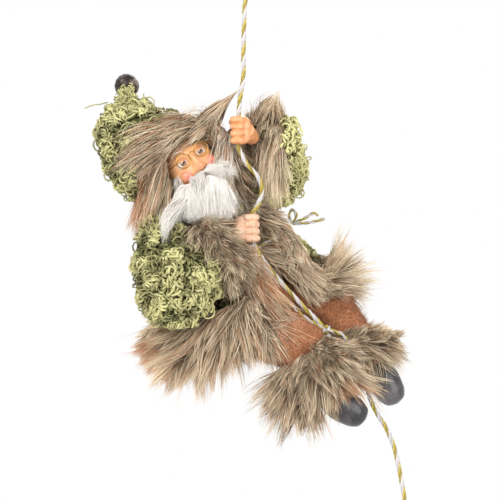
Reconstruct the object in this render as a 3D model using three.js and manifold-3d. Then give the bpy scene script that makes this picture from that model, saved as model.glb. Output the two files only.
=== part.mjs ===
// A bearded gift bringer doll that climbs a white and gold cord, about 30 cm from bell to boots.
// Millimetres, +Z up. The origin is the inside top of the cord's hanging loop, where a hook bears.
// X runs to the right of the view that shows the doll's face, and Y runs away from that view.

import * as THREE from 'three';
import { mergeVertices } from 'three/addons/utils/BufferGeometryUtils.js';
import Module from 'manifold-3d';

const wasm = await Module();
wasm.setup();

const v = (x, y, z) => new THREE.Vector3(x, y, z);
const rad = THREE.MathUtils.degToRad;

// Clearances
const gap = 0.3;
const turnGap = 0.5;
const legGap = 1.2;
const socketGap = 1.2;
const gripClearance = 0.75;

// Cord
const cordDiameter = 3.5;
const loopHeight = 26;
const loopWidth = 13;
const knotDiameter = 9;
const knotLength = 10;
const knotHold = 3.5;
const tieKnotDiameter = 9;
const waistCordDiameter = 2.6;
const bowLoopLength = 17;

// Stance of the body
const pelvis = v(13, 32, -260);
const lean = rad(32.5);
const bodyTurn = rad(45);
const torsoLength = 92;
const waistHeight = 40;

// Coat: its outline round the waist and the hem, as [angle from the front towards the left, radius, height]
const coatThickness = 3;
const liningThickness = 1;
const collarRadius = 15;
const shoulderDepth = 20;
const shoulderSide = 30;
const chestDepth = 26;
const chestSide = 34;
const waistOutline = [[0, 27], [45, 40], [75, 43], [110, 36], [180, 31], [225, 33], [270, 32], [315, 28]];
const hemOutline = [
  [0, 34, -8], [30, 40, -10], [60, 58, -9], [90, 62, 12], [135, 58, 25],
  [180, 58, 28], [225, 64, 28], [270, 60, 8], [310, 46, 4],
];

// Fur trims: the thickness of their pile over the backing
const frontTrimRadius = 8;
const hemTrimRadius = 10.5;
const hemStream = 17;
const hoodTrimRadius = 10;
const sleeveCuffRadius = 27;
const sleeveCuffWidth = 26;
const bootCuffRadius = 31;
const bootCuffWidth = 36;

// Arms
const shoulderHeight = 78;
const shoulderHalfWidth = 38;
const shoulderBall = { right: 20, left: 17 };
const sleeveRadius = { right: 25, left: 18 };
const sleeveMouthRadius = { right: 15, left: 12 };
const elbowOffset = { right: v(3, -30, -33), left: v(31, 0, 20) };
const gripHeight = { right: -202, left: -132.5 };
const wristReach = 13;
const fingerDiameter = 5.4;
const fingerPitch = 5;
const wristRadius = 6;
const wireDiameter = 2;
const armSwing = { right: 25, left: 30 };

// Legs
const hip = { right: [-6, 2, -17], left: [-2, 6, 17] };
const knee = { right: v(31, -14.5, -282), left: v(62, 30, -258.5) };
const ankle = { right: v(58, -15.5, -321), left: v(92, 17, -301) };
const toe = { right: v(77, -14.5, -333), left: v(104, 15, -321) };
const hipBall = { right: 16, left: 16 };
const thighRadius = { right: 22, left: 17.5 };
const kneeBall = { right: 19, left: 15.5 };
const shinEndRadius = 12;
const bootRadius = 11.5;
const cuffPlace = 0.62;
const legSwing = 20;
const kneeBend = 35;

// Head
const headCentre = v(-40, 12, -159);
const headTilt = rad(36.6);
const headTurned = rad(15);
const headHalfWidth = 19;
const headHalfHeight = 24;
const headHalfDepth = 21;
const neckRadius = 8;
const neckDepth = 9;
const lensRadius = 5.2;
const lensSpacing = 15.5;
const spectacleWire = 1.1;
const headSwing = 15;

// Bell
const bellRadius = 9;
const bellWall = 0.9;
const bellSlot = 2.2;
const bellCentre = v(-86, 13, -100);
const shankLoop = 2.4;
const shankWire = 1.2;
const sewnRing = 2.6;
const sewnRingWire = 1;
const pelletDiameter = 4;
const bellSwing = 25;

// Finishes
const look = (colour, roughness, metalness = 0) =>
  new THREE.MeshStandardMaterial({ color: colour, roughness, metalness });
const boucle = look(0x8f9c56, 0.95);
const pile = look(0x8a7a66, 0.9);
const whiteFibre = look(0xeeeae4, 0.85);
const felt = look(0x9c5a34, 0.95);
const liningCloth = look(0x8d4f2d, 0.95);
const resinSkin = look(0xe9a06c, 0.5);
const darkResin = look(0x33343a, 0.3);
const twistedCord = look(0xe6dcae, 0.6);
const goldWire = look(0xb98a35, 0.3, 1);
const darkBronze = look(0x4a3c33, 0.4, 0.9);
const bareSteel = look(0x9a9a9a, 0.4, 1);
const stuffing = look(0xe8e4da, 1);

// The body's own directions: up the spine, out of the chest, and towards the doll's left hand
const up = v(-Math.sin(lean), 0, Math.cos(lean));
const across = v(Math.cos(lean), 0, Math.sin(lean));
const front = across.clone().multiplyScalar(Math.cos(bodyTurn))
  .addScaledVector(v(0, -1, 0), Math.sin(bodyTurn));
const left = up.clone().cross(front);
const onBody = (height, out, side) =>
  pelvis.clone().addScaledVector(up, height).addScaledVector(front, out).addScaledVector(left, side);

// The head's own directions
const headUp = v(-Math.sin(headTilt), 0, Math.cos(headTilt));
const headLeft0 = v(Math.cos(headTilt), 0, Math.sin(headTilt));
const headFront = v(0, -1, 0).multiplyScalar(Math.cos(headTurned))
  .addScaledVector(headLeft0, Math.sin(headTurned));
const headLeft = headUp.clone().cross(headFront);
const onHead = (height, out, side) =>
  headCentre.clone().addScaledVector(headUp, height).addScaledVector(headFront, out)
    .addScaledVector(headLeft, side);

// Solids

// A closed surface from rings of points, each ring going once round, with a point at each end
function loft(rings, poles) {
  const places = [...rings.flat(), ...poles];
  const around = rings[0].length;
  const startPole = places.length - 2;
  const endPole = places.length - 1;
  const index = [];
  for (let ring = 0; ring < rings.length - 1; ring += 1) {
    for (let side = 0; side < around; side += 1) {
      const next = (side + 1) % around;
      const a = ring * around + side;
      const b = ring * around + next;
      index.push(a, b, b + around, a, b + around, a + around);
    }
  }
  const last = (rings.length - 1) * around;
  for (let side = 0; side < around; side += 1) {
    const next = (side + 1) % around;
    index.push(startPole, next, side, endPole, last + side, last + next);
  }
  return facingOut(places, index);
}

// A geometry whose triangles are turned so that they face out
function facingOut(places, index) {
  let volume = 0;
  for (let corner = 0; corner < index.length; corner += 3) {
    const [a, b, c] = [places[index[corner]], places[index[corner + 1]], places[index[corner + 2]]];
    volume += a.dot(b.clone().cross(c));
  }
  const geometry = new THREE.BufferGeometry().setFromPoints(places);
  geometry.setIndex(volume > 0 ? index : index.toReversed());
  return geometry;
}

// A body swept along a path, elliptical across it, with rounded or flat ends
function sweep({
  points, radii, sides = 12, steps = 8, toward = v(0, 1, 0), grow = 0, round = true, closed = false,
}) {
  const path = new THREE.CatmullRomCurve3(points, closed, 'centripetal');
  const sizes = radii.map((size) => (Array.isArray(size) ? v(size[0], size[1], 0) : v(size, size, 0)));
  while (sizes.length < points.length) {
    sizes.push(sizes[0]);
  }
  const girth = new THREE.CatmullRomCurve3(sizes, closed, 'centripetal');
  const ringAt = (share, shrink = 1, shift = 0) => {
    const along = path.getTangent(share);
    const wide = toward.clone().addScaledVector(along, -toward.dot(along)).normalize();
    const deep = along.clone().cross(wide);
    const size = girth.getPoint(share);
    const centre = path.getPoint(share).addScaledVector(along, shift);
    return Array.from({ length: sides }, (_, side) => {
      const angle = (side / sides) * 2 * Math.PI;
      return centre.clone()
        .addScaledVector(wide, (size.x + grow) * shrink * Math.cos(angle))
        .addScaledVector(deep, (size.y + grow) * shrink * Math.sin(angle));
    });
  };
  if (closed) {
    return closedSweep(Array.from({ length: steps }, (_, step) => ringAt(step / steps)));
  }
  const rings = Array.from({ length: steps + 1 }, (_, step) => ringAt(step / steps));
  const thinner = (share) => Math.min(girth.getPoint(share).x, girth.getPoint(share).y);
  const domeAt = (share) => (round ? 0.75 * (thinner(share) + grow) : grow);
  if (round) {
    rings.unshift(ringAt(0, Math.SQRT1_2, -domeAt(0) * Math.SQRT1_2));
    rings.push(ringAt(1, Math.SQRT1_2, domeAt(1) * Math.SQRT1_2));
  } else if (grow > 0) {
    rings.unshift(ringAt(0, 1, -grow));
    rings.push(ringAt(1, 1, grow));
  }
  const poles = [0, 1].map((share) =>
    path.getPoint(share).addScaledVector(path.getTangent(share), (share * 2 - 1) * domeAt(share)));
  return loft(rings, poles);
}

// A ring-shaped sweep, which needs no ends
function closedSweep(rings) {
  const around = rings[0].length;
  const index = [];
  rings.forEach((_, ring) => {
    const after = ((ring + 1) % rings.length) * around;
    for (let side = 0; side < around; side += 1) {
      const next = (side + 1) % around;
      index.push(ring * around + side, ring * around + next, after + next);
      index.push(ring * around + side, after + next, after + side);
    }
  });
  return facingOut(rings.flat(), index);
}

const ball = (centre, radius, detail = 12) =>
  new THREE.SphereGeometry(radius, detail, Math.round(detail * 0.7)).translate(centre.x, centre.y, centre.z);

// A geometry turned so that its own X, Y and Z lie along three directions, at a place
const placed = (geometry, place, x, y, z) =>
  geometry.applyMatrix4(new THREE.Matrix4().makeBasis(x, y, z).setPosition(place));

// A geometry turned about a joint, as its moving side turns
function swung(geometry, joint, degrees) {
  const matrix = new THREE.Matrix4().makeTranslation(joint.pivot)
    .multiply(new THREE.Matrix4().makeRotationAxis(joint.axis, rad(degrees)))
    .multiply(new THREE.Matrix4().makeTranslation(joint.pivot.clone().negate()));
  return geometry.isBufferGeometry
    ? geometry.clone().applyMatrix4(matrix)
    : geometry.transform(matrix.elements);
}

function solid(geometry) {
  if (!geometry.isBufferGeometry) {
    return geometry;
  }
  const bare = geometry.clone();
  bare.deleteAttribute('normal');
  bare.deleteAttribute('uv');
  const merged = mergeVertices(bare, 1e-4);
  return new wasm.Manifold(new wasm.Mesh({
    numProp: 3,
    vertProperties: Float32Array.from(merged.attributes.position.array),
    triVerts: Uint32Array.from(merged.index.array),
  }));
}

const join = (...shapes) => shapes.map(solid).reduce((whole, shape) => whole.add(shape));
const cut = (shape, ...tools) =>
  tools.flat().map(solid).reduce((rest, tool) => rest.subtract(tool), solid(shape));

// The largest of the bodies that the cuts left
const largest = (shape) =>
  shape.decompose().reduce((best, body) => (body.volume() > best.volume() ? body : best));

function piece(name, shape, finish) {
  const { vertProperties, triVerts } = largest(solid(shape)).getMesh();
  const geometry = new THREE.BufferGeometry();
  geometry.setAttribute('position', new THREE.BufferAttribute(Float32Array.from(vertProperties), 3));
  geometry.setIndex(new THREE.BufferAttribute(Uint32Array.from(triVerts), 1));
  geometry.computeVertexNormals();
  const mesh = new THREE.Mesh(geometry, finish);
  mesh.name = name;
  return mesh;
}

// What turns together, in a group whose own origin is its joint
function assembly(pivot, meshes, groups = []) {
  const group = new THREE.Group();
  group.position.copy(pivot);
  for (const mesh of meshes) {
    mesh.geometry.translate(-pivot.x, -pivot.y, -pivot.z);
    group.add(mesh);
  }
  for (const inner of groups) {
    inner.position.sub(pivot);
    group.add(inner);
  }
  return group;
}

// The long cord

const cordRadius = cordDiameter / 2;
const loopKnotCentre = -loopHeight - knotLength / 2;
const cordRoute = [
  [0, loopKnotCentre - knotLength / 2 + knotHold], [-1.4, -42], [-2.5, -75.5], [-2.8, -96.8], [-4.6, -107],
  [-6, -121],
  [-7.1, -132.5], [-5.4, -146], [0.8, -157.5], [8, -166], [10.6, -175], [8, -184.5],
  [3.4, -193], [2.1, -202], [4.4, -212], [9.2, -221], [15, -229.6], [28.4, -245.2],
  [41, -258.7], [52.5, -270.5], [61.2, -283], [70.3, -293.1], [79.2, -302.6], [84.6, -313.4],
  [88, -325], [93.2, -335], [99.6, -345.6], [104.8, -358.8], [108.8, -377], [112.2, -395], [114.6, -404],
].map(([x, z]) => v(x, 0, z));
const cordSteps = 52;
const cordPath = new THREE.CatmullRomCurve3(cordRoute, false, 'centripetal');
const cordShape = (grow = 0) =>
  sweep({ points: cordRoute, radii: [cordRadius], sides: 8, steps: cordSteps, grow, round: false });

// The place on the cord, and its direction there, at one height
function cordAt(height) {
  let low = 0;
  let high = 1;
  for (let halving = 0; halving < 30; halving += 1) {
    const middle = (low + high) / 2;
    if (cordPath.getPoint(middle).z > height) {
      low = middle;
    } else {
      high = middle;
    }
  }
  return { place: cordPath.getPoint(low), along: cordPath.getTangent(low) };
}

const loopRoute = [
  v(-cordRadius - gap, 0, -loopHeight - knotHold), v(-loopWidth / 2, 0, -loopHeight * 0.6),
  v(-loopWidth / 2, 0, -loopHeight * 0.25), v(0, 0, cordRadius), v(loopWidth / 2, 0, -loopHeight * 0.25),
  v(loopWidth / 2, 0, -loopHeight * 0.6), v(cordRadius + gap, 0, -loopHeight - knotHold),
];
const hangingLoop = sweep({ points: loopRoute, radii: [cordRadius], sides: 8, steps: 22, round: false });

// A knot's lump, its two domed ends included in its length
const knotShape = (centre, along, diameter, length) => {
  const endRadius = diameter * 0.34;
  const half = length / 2 - endRadius * 0.75;
  return sweep({
    points: [-1, -0.5, 0.5, 1].map((share) => centre.clone().addScaledVector(along, share * half)),
    radii: [endRadius, diameter * 0.5, diameter * 0.5, endRadius],
    sides: 10, steps: 4, toward: v(0, 1, 0.1),
  });
};
const loopKnot = cut(
  knotShape(v(0, 0, loopKnotCentre), v(0, 0, 1), knotDiameter, knotLength),
  sweep({ points: loopRoute, radii: [cordRadius], sides: 8, steps: 22, round: false, grow: gap }),
  cordShape(gap),
);
const cordEnd = cordPath.getPoint(1);
const cordEndAlong = cordPath.getTangent(1);
const endKnot = cut(
  knotShape(
    cordEnd.clone().addScaledVector(cordEndAlong, knotLength / 2 - knotHold), cordEndAlong,
    knotDiameter, knotLength),
  cordShape(gap),
);

// The coat, as outlines that run down from the collar, one for each direction round the body

const roundOutline = (outline, degrees, column) => {
  const wrapped = ((degrees % 360) + 360) % 360;
  const after = outline.findIndex(([angle]) => angle > wrapped);
  const next = after < 0 ? outline.length : after;
  const [from, to] = [outline[next - 1], outline[next % outline.length]];
  const span = (to[0] - from[0] + 360) % 360;
  const share = (1 - Math.cos(((wrapped - from[0]) / span) * Math.PI)) / 2;
  return from[column] + (to[column] - from[column]) * share;
};
const oval = (degrees, depth, side) =>
  Math.hypot(depth * Math.cos(rad(degrees)), side * Math.sin(rad(degrees)));

// A place on the coat: level 0 is the collar, 0.25 the shoulder, 0.5 the chest, 0.75 the waist and 1 the hem
function onCoat(degrees, level, grow = 0) {
  const outline = new THREE.CatmullRomCurve3([
    v(collarRadius, torsoLength - 4, 0),
    v(oval(degrees, shoulderDepth, shoulderSide), shoulderHeight + 4, 0),
    v(oval(degrees, chestDepth, chestSide), (shoulderHeight + waistHeight) / 2 + 4, 0),
    v(roundOutline(waistOutline, degrees, 1), waistHeight, 0),
    v(roundOutline(hemOutline, degrees, 1), roundOutline(hemOutline, degrees, 2), 0),
  ], false, 'centripetal');
  const spot = level > 1
    ? outline.getPoint(1).addScaledVector(outline.getTangent(1), (level - 1) * 30)
    : outline.getPoint(level);
  const radius = Math.max(spot.x + grow, 1);
  return onBody(spot.y, radius * Math.cos(rad(degrees)), radius * Math.sin(rad(degrees)));
}

const coatSides = 16;
function coatBody(levels, grow, capDrop = 0) {
  const directions = Array.from({ length: coatSides }, (_, side) => (side * 360) / coatSides);
  const rings = levels.map((level) => directions.map((degrees) => onCoat(degrees, level, grow)));
  const middle = (ring, rise) => ring
    .reduce((sum, place) => sum.add(place), v(0, 0, 0))
    .divideScalar(ring.length)
    .addScaledVector(up, rise);
  return loft(rings, [middle(rings[0], capDrop), middle(rings.at(-1), -capDrop)]);
}

const waistLevel = 0.75;
const innerCoat = -coatThickness - gap;
const bodyLevels = [0, 0.1, 0.25, 0.4, 0.55, waistLevel];
const skirtLevels = [0.84, 0.92, 1];
const coatOuter = (grow = 0) => coatBody([...bodyLevels, ...skirtLevels], grow, grow);
const coatInner = coatBody([0.04, 0.1, 0.25, 0.4, 0.55, waistLevel, ...skirtLevels, 1.3], -coatThickness);
const torsoShape = (grow = 0) => coatBody([0.1, 0.25, 0.4, 0.55, waistLevel], innerCoat - gap + grow, grow);

// The split at the front of the skirt, between its two front corners
const splitTop = [waistHeight - 1, -1];
const splitRight = [-45, -64];
const splitLeft = [-45, 22];
const splitShape = placed(
  new THREE.ExtrudeGeometry(
    new THREE.Shape([splitTop, splitRight, splitLeft].map(([height, side]) => new THREE.Vector2(side, height))),
    { depth: 90, bevelEnabled: false },
  ),
  onBody(0, 8, 0), left, up, front,
);

// Joints

const shoulderAt = (side) =>
  onBody(shoulderHeight, -2, side === 'right' ? -shoulderHalfWidth : shoulderHalfWidth);
const grip = {
  right: { ...cordAt(gripHeight.right), mouth: v(0, 1, 0) },
  left: { ...cordAt(gripHeight.left), mouth: v(-1, 0, 0) },
};
// Each arm swings so that its hand leaves the cord straight away from the hand's open side
const shoulderJoint = (side) => {
  const pivot = shoulderAt(side);
  const axis = grip[side].place.clone().sub(pivot).cross(grip[side].mouth.clone().negate()).normalize();
  return { pivot, axis };
};
const hipJoint = (side) => {
  const pivot = onBody(...hip[side]);
  const apart = v(0, side === 'right' ? -1 : 1, 0);
  const axis = toe[side].clone().sub(pivot).cross(apart).normalize();
  return { pivot, axis };
};
const kneeJoint = (side) => ({ pivot: knee[side], axis: v(0, 1, 0) });
const neckPivot = onBody(torsoLength - 2, 0, 0);
const neckJoint = { pivot: neckPivot, axis: headCentre.clone().sub(neckPivot).normalize() };
const bellAxis = v(-0.15, 0, 1).normalize();
const linkDepth = shankWire / 2 + sewnRingWire / 2 + gap;
const shankCentre = bellCentre.clone().addScaledVector(bellAxis, -(bellRadius + shankLoop - shankWire / 4));
const bellJoint = {
  pivot: shankCentre.clone().addScaledVector(bellAxis, linkDepth - shankLoop),
  axis: v(0, 1, 0),
};
const joints = {
  head_turn: neckJoint,
  bell_wobble: bellJoint,
  right_shoulder: shoulderJoint('right'), left_shoulder: shoulderJoint('left'),
  right_hip: hipJoint('right'), left_hip: hipJoint('left'),
  right_knee: kneeJoint('right'), left_knee: kneeJoint('left'),
};
const through = (most, least = 0, spans = 2) =>
  Array.from({ length: spans + 1 }, (_, step) => least + ((most - least) * step) / spans);
// A shape at each of some turns of a joint, for what it sweeps
const turned = (shape, joint, turns) => turns.map((degrees) => swung(shape, joints[joint], degrees));

// Arms

function handLocal(side) {
  const { place, along, mouth } = grip[side];
  const axis = along.clone().negate();
  const open = mouth.clone().addScaledVector(axis, -mouth.dot(axis)).normalize();
  const over = axis.clone().cross(open);
  return { place, axis, open, over, at: (rise, out, across2) =>
    place.clone().addScaledVector(axis, rise).addScaledVector(open, out).addScaledVector(over, across2) };
}

const gripRadius = cordRadius + gripClearance + fingerDiameter / 2;
// Angles round the cord, from the open side: where the fingers run, the palm's middle and the thumb
const fingerWay = {
  right: {
    finger: [110, 175, 230, 285],
    palm: 110,
    thumb: [[120, gripRadius, -7], [80, gripRadius + 1, -9], [45, gripRadius + 1.5, -8]],
  },
  left: {
    finger: [195, 140, 95, 52],
    palm: 195,
    thumb: [[215, gripRadius, 6], [265, gripRadius + 0.5, 7], [310, gripRadius + 1.5, 6]],
  },
};

// A closed hand: four fingers and a thumb, bent round the cord with the open side left free
function handShape(side, grow = 0) {
  const frame = handLocal(side);
  const turn = (degrees, radius, rise) =>
    frame.at(rise, radius * Math.cos(rad(degrees)), radius * Math.sin(rad(degrees)));
  const way = fingerWay[side];
  const fingers = [-1.5, -0.5, 0.5, 1.5].map((row) => sweep({
    points: way.finger.map((degrees) => turn(degrees, gripRadius, row * fingerPitch)),
    radii: [fingerDiameter / 2, fingerDiameter / 2, fingerDiameter / 2, fingerDiameter * 0.44],
    sides: 6, steps: 4, toward: frame.axis, grow,
  }));
  const thumb = sweep({
    points: way.thumb.map(([degrees, radius, rise]) => turn(degrees, radius, rise)),
    radii: [3.4, 2.9, 2.2], sides: 6, steps: 3, toward: frame.axis, grow,
  });
  const palm = sweep({
    points: [-1.3, 0, 1.3].map((row) => turn(way.palm, gripRadius + 1.2, row * fingerPitch)),
    radii: [[3.6, 5], [4, 5.6], [3.6, 5]], sides: 10, steps: 3, toward: frame.open, grow,
  });
  const wrist = sweep({
    points: [turn(way.palm, gripRadius + 1.5, 0), wristAt(side)],
    radii: [wristRadius, wristRadius * 0.9], sides: 10, steps: 1, toward: frame.axis, grow, round: false,
  });
  return join(palm, wrist, thumb, ...fingers);
}

const elbowAt = (side) => shoulderAt(side).add(elbowOffset[side]);
const palmAt = (side) => {
  const frame = handLocal(side);
  const angle = rad(fingerWay[side].palm);
  return frame.at(0, (gripRadius + 1.5) * Math.cos(angle), (gripRadius + 1.5) * Math.sin(angle));
};
const wristAt = (side) => {
  const toElbow = elbowAt(side).sub(palmAt(side)).normalize();
  return palmAt(side).addScaledVector(toElbow, wristReach);
};
const sleeveEnd = (side) => wristAt(side).lerp(elbowAt(side), 0.04);
const forearmPoint = (side, share) => sleeveEnd(side).lerp(elbowAt(side), share);

const sleeveHalf = (side, points, radii, grow) => sweep({
  points, radii, sides: 12, steps: 3, toward: side === 'right' ? v(1, 0, 0) : v(0, 0, 1), grow, round: false,
});
const sleeveTube = (side, grow = 0) => join(
  sleeveHalf(
    side, [shoulderAt(side), shoulderAt(side).lerp(elbowAt(side), 0.55), elbowAt(side)],
    [shoulderBall[side] - 1, sleeveRadius[side], sleeveRadius[side] * 0.96], grow),
  ball(elbowAt(side), sleeveRadius[side] + grow, 10),
  sleeveHalf(
    side, [elbowAt(side), forearmPoint(side, 0.5), sleeveEnd(side)],
    [sleeveRadius[side] * 0.96, sleeveRadius[side] * 0.8, sleeveMouthRadius[side]], grow),
);
const armWire = (side) => (grow = 0) => sweep({
  points: [
    shoulderAt(side), shoulderAt(side).lerp(elbowAt(side), 0.6), elbowAt(side), forearmPoint(side, 0.6),
    wristAt(side), palmAt(side).lerp(wristAt(side), 0.5),
  ],
  radii: [wireDiameter / 2], sides: 6, steps: 10, toward: v(0.3, 0.2, 1), grow, round: false,
});
const sleeveCuffBand = (side, grow = 0) => {
  const direction = elbowAt(side).sub(wristAt(side)).normalize();
  const middle = wristAt(side).addScaledVector(direction, sleeveCuffWidth / 2 + 1);
  return sweep({
    points: [-0.5, -0.3, 0, 0.3, 0.5].map((share) =>
      middle.clone().addScaledVector(direction, share * sleeveCuffWidth)),
    radii: [0.62, 0.9, 1, 0.92, 0.7].map((share) => share * sleeveCuffRadius),
    sides: 14, steps: 4, toward: v(0, 0, 1), grow, round: false,
  });
};

// The strand that ties the doll to the long cord
const tieKnotHeight = -274.5;
const tie = cordAt(tieKnotHeight);
const tieKnotShape = (grow = 0) =>
  knotShape(tie.place, tie.along, tieKnotDiameter + 2 * grow, tieKnotDiameter + 2 * grow);
const tieStrandShape = (grow = 0) => sweep({
  points: [
    onBody(12, 24, -8), v(24, 2, -250), v(31, -4.5, -257), v(41, -4.5, -265.5), v(49, -3.5, -270.5),
    v(52.5, -2.2, -273),
  ],
  radii: [cordRadius], sides: 8, steps: 12, toward: v(0, 1, 0.3), grow, round: false,
});
const tieTailShape = sweep({
  points: [v(56, -3, -274), v(62, -3, -275), v(68, -3.5, -278), v(71, -3, -281)],
  radii: [cordRadius], sides: 8, steps: 5, toward: v(0, 1, 0.3), round: false,
});
// Legs

const hipAt = (side) => hipJoint(side).pivot;
const seatShape = (grow = 0) => sweep({
  points: [onBody(22, 0, 0), onBody(8, 0, 0), onBody(-6, 1, 0), onBody(-16, 1, 0)],
  radii: [[24, 21], [28, 23], [27, 23], [22, 19]],
  sides: 14, steps: 5, toward: left, grow,
});
const thighTube = (side, grow = 0) => sweep({
  points: [hipAt(side), hipAt(side).lerp(knee[side], 0.5), knee[side].clone().lerp(hipAt(side), 0.1)],
  radii: [hipBall[side], thighRadius[side], thighRadius[side] * 0.98],
  sides: 10, steps: 4, toward: v(0, 1, 0.2), grow, round: false,
});
const shinTube = (side, grow = 0) => sweep({
  points: [knee[side], knee[side].clone().lerp(ankle[side], 0.5), ankle[side]],
  radii: [kneeBall[side] - 0.8, (kneeBall[side] + shinEndRadius) / 2, shinEndRadius],
  sides: 12, steps: 4, toward: v(0, 1, 0), grow, round: false,
});
const bootShape = (side, grow = 0) => {
  const foot = toe[side].clone().sub(ankle[side]);
  return sweep({
    points: [
      ankle[side].clone().addScaledVector(foot, turnGap / foot.length()),
      ankle[side].clone().addScaledVector(foot, 0.45), toe[side],
    ],
    radii: [[0.86, 0.86], [0.94, 1], [0.86, 0.84]].map((size) => size.map((share) => share * bootRadius)),
    sides: 14, steps: 5, toward: v(0, 1, 0), grow,
  });
};
const bootCuffBand = (side, grow = 0) => {
  const middle = knee[side].clone().lerp(ankle[side], cuffPlace);
  const direction = ankle[side].clone().sub(knee[side]).normalize();
  return sweep({
    points: [-0.5, -0.28, 0, 0.28, 0.5].map((share) =>
      middle.clone().addScaledVector(direction, share * bootCuffWidth)),
    radii: [0.7, 0.94, 1, 0.9, 0.6].map((share) => share * bootCuffRadius),
    sides: 14, steps: 4, toward: v(0, 1, 0), grow, round: false,
  });
};
// The plane of the cord keeps the two legs apart from the lap down: each leg's fur lies flat against it
const lap = 27;
const sideOfCord = (side) => {
  const away = side === 'right' ? 1 : -1;
  return new THREE.BoxGeometry(200, 120, 200).translate(lap + 100, away * (60 - cordRadius - turnGap), -290);
};
const legWire = (from, to) => (grow = 0) =>
  sweep({ points: [from, to], radii: [wireDiameter / 2], sides: 8, steps: 2, toward: v(0, 1, 0.3), grow, round: false });
// The wire reaches the knee's ball, and its channel is open there
const thighWire = (side) => (grow = 0) => {
  const way = hipAt(side).sub(knee[side]).normalize();
  const end = kneeBall[side] + turnGap - 8 * grow;
  return legWire(hipAt(side), knee[side].clone().addScaledVector(way, end))(grow);
};
const shinWire = (side) => legWire(
  knee[side].clone().lerp(ankle[side], 0.35), ankle[side].clone().lerp(toe[side], 0.5));

function leg(side) {
  const socket = ball(knee[side], kneeBall[side] + socketGap);
  const seat = seatShape(gap);
  const thigh = cut(
    join(cut(thighTube(side), seat), ball(hipAt(side), hipBall[side])),
    socket, turned(shinTube(side, turnGap), `${side}_knee`, through(kneeBend)),
    thighWire(side)(gap), sideOfCord(side),
    turned(tieStrandShape(legGap), `${side}_hip`, through(-legSwing, 0, 4)),
  );
  const shin = cut(
    join(shinTube(side), ball(knee[side], kneeBall[side])), shinWire(side)(gap), sideOfCord(side));
  const boot = cut(bootShape(side), shinTube(side, gap), shinWire(side)(gap));
  const cuff = cut(bootCuffBand(side), shinTube(side, gap), ball(knee[side], kneeBall[side] + turnGap),
    bootShape(side, gap), sideOfCord(side),
    turned(tieKnotShape(legGap), `${side}_knee`, through(-kneeBend, 0, 4)),
    turned(thighTube(side, turnGap), `${side}_knee`, through(-kneeBend)));
  return {
    upper: [
      piece(`${side}_thigh`, thigh, felt),
      piece(`${side}_thigh_wire`, thighWire(side)(), bareSteel),
    ],
    lower: [
      piece(`${side}_shin`, shin, felt),
      piece(`${side}_shin_wire`, shinWire(side)(), bareSteel),
      piece(`${side}_boot_cuff`, cuff, pile),
      piece(`${side}_boot`, boot, darkResin),
    ],
  };
}

// Head

const skull = (grow = 0) => placed(
  new THREE.SphereGeometry(1, 14, 10).rotateX(Math.PI / 2)
    .scale(headHalfDepth + grow, headHalfWidth + grow, headHalfHeight + grow),
  headCentre, headFront, headLeft, headUp,
);
const neckPlug = (grow = 0) => sweep({
  points: [neckPivot.clone().addScaledVector(neckJoint.axis, -neckDepth - 3 * grow), headCentre.clone()],
  radii: [neckRadius], sides: 14, steps: 2, toward: v(1, 0, 0), grow, round: false,
});
const spineWire = (grow = 0) => sweep({
  points: [
    onBody(14, 0, 0), onBody(torsoLength * 0.6, 0, 0),
    neckPivot.clone().addScaledVector(neckJoint.axis, -neckDepth - 1),
  ],
  radii: [wireDiameter / 2], sides: 6, steps: 4, toward: v(0, 1, 0.1), grow, round: false,
});
const noseShape = (grow = 0) => sweep({
  points: [
    onHead(5, headHalfDepth * 0.9, 0), onHead(-1, headHalfDepth + 1.5, 0), onHead(-4.5, headHalfDepth + 1, 0),
  ],
  radii: [1.8, 2.8, 3], sides: 8, steps: 3, toward: headLeft, grow,
});
const cheek = (side, grow = 0) =>
  ball(onHead(-4, headHalfDepth * 0.74, side * headHalfWidth * 0.52), 6.5 + grow, 10);
const chin = (grow = 0) => ball(onHead(-headHalfHeight * 0.68, headHalfDepth * 0.55, 0), 8.5 + grow, 10);
const faceShape = (grow = 0) => [skull(grow), noseShape(grow), cheek(-1, grow), cheek(1, grow), chin(grow)];

const lensAt = (side) => onHead(6, headHalfDepth + 2.8, (side * lensSpacing) / 2);
function spectaclesShape(grow = 0) {
  const wire = spectacleWire / 2;
  const rim = (side) => placed(
    new THREE.TorusGeometry(lensRadius, wire + grow, 5, 14), lensAt(side), headLeft, headUp, headFront);
  const bar = (points, steps) =>
    sweep({ points, radii: [wire], sides: 5, steps, toward: v(0.2, 0.1, 1), grow, round: false });
  const bridge = bar([
    onHead(7, headHalfDepth + 2.8, -lensSpacing / 2 + lensRadius), onHead(8.2, headHalfDepth + 3.6, 0),
    onHead(7, headHalfDepth + 2.8, lensSpacing / 2 - lensRadius),
  ], 4);
  const temple = (side) => bar([
    onHead(7, headHalfDepth + 2.6, side * (lensSpacing / 2 + lensRadius)),
    onHead(7, headHalfDepth * 0.75, side * (headHalfWidth + 0.2)),
    onHead(6, 2, side * (headHalfWidth + 1.6)),
  ], 5);
  return join(rim(-1), rim(1), bridge, temple(-1), temple(1));
}

const moustacheShape = (grow = 0) => sweep({
  points: [
    onHead(-10, headHalfDepth * 0.9, -12), onHead(-8.5, headHalfDepth + 1, -6),
    onHead(-7.6, headHalfDepth + 2, 0),
    onHead(-8.5, headHalfDepth + 1, 6), onHead(-10, headHalfDepth * 0.9, 12),
  ],
  radii: [1.8, 3.2, 2.6, 3.2, 1.8], sides: 8, steps: 6, toward: headUp, grow,
});
const beardShape = (grow = 0) => sweep({
  points: [onHead(-13, headHalfDepth * 0.8, 0), v(-33, -13, -183), v(-34, -15, -194)],
  radii: [[18, 7], [21, 8], [13, 6]], sides: 14, steps: 5, toward: headLeft, grow,
});

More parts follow.
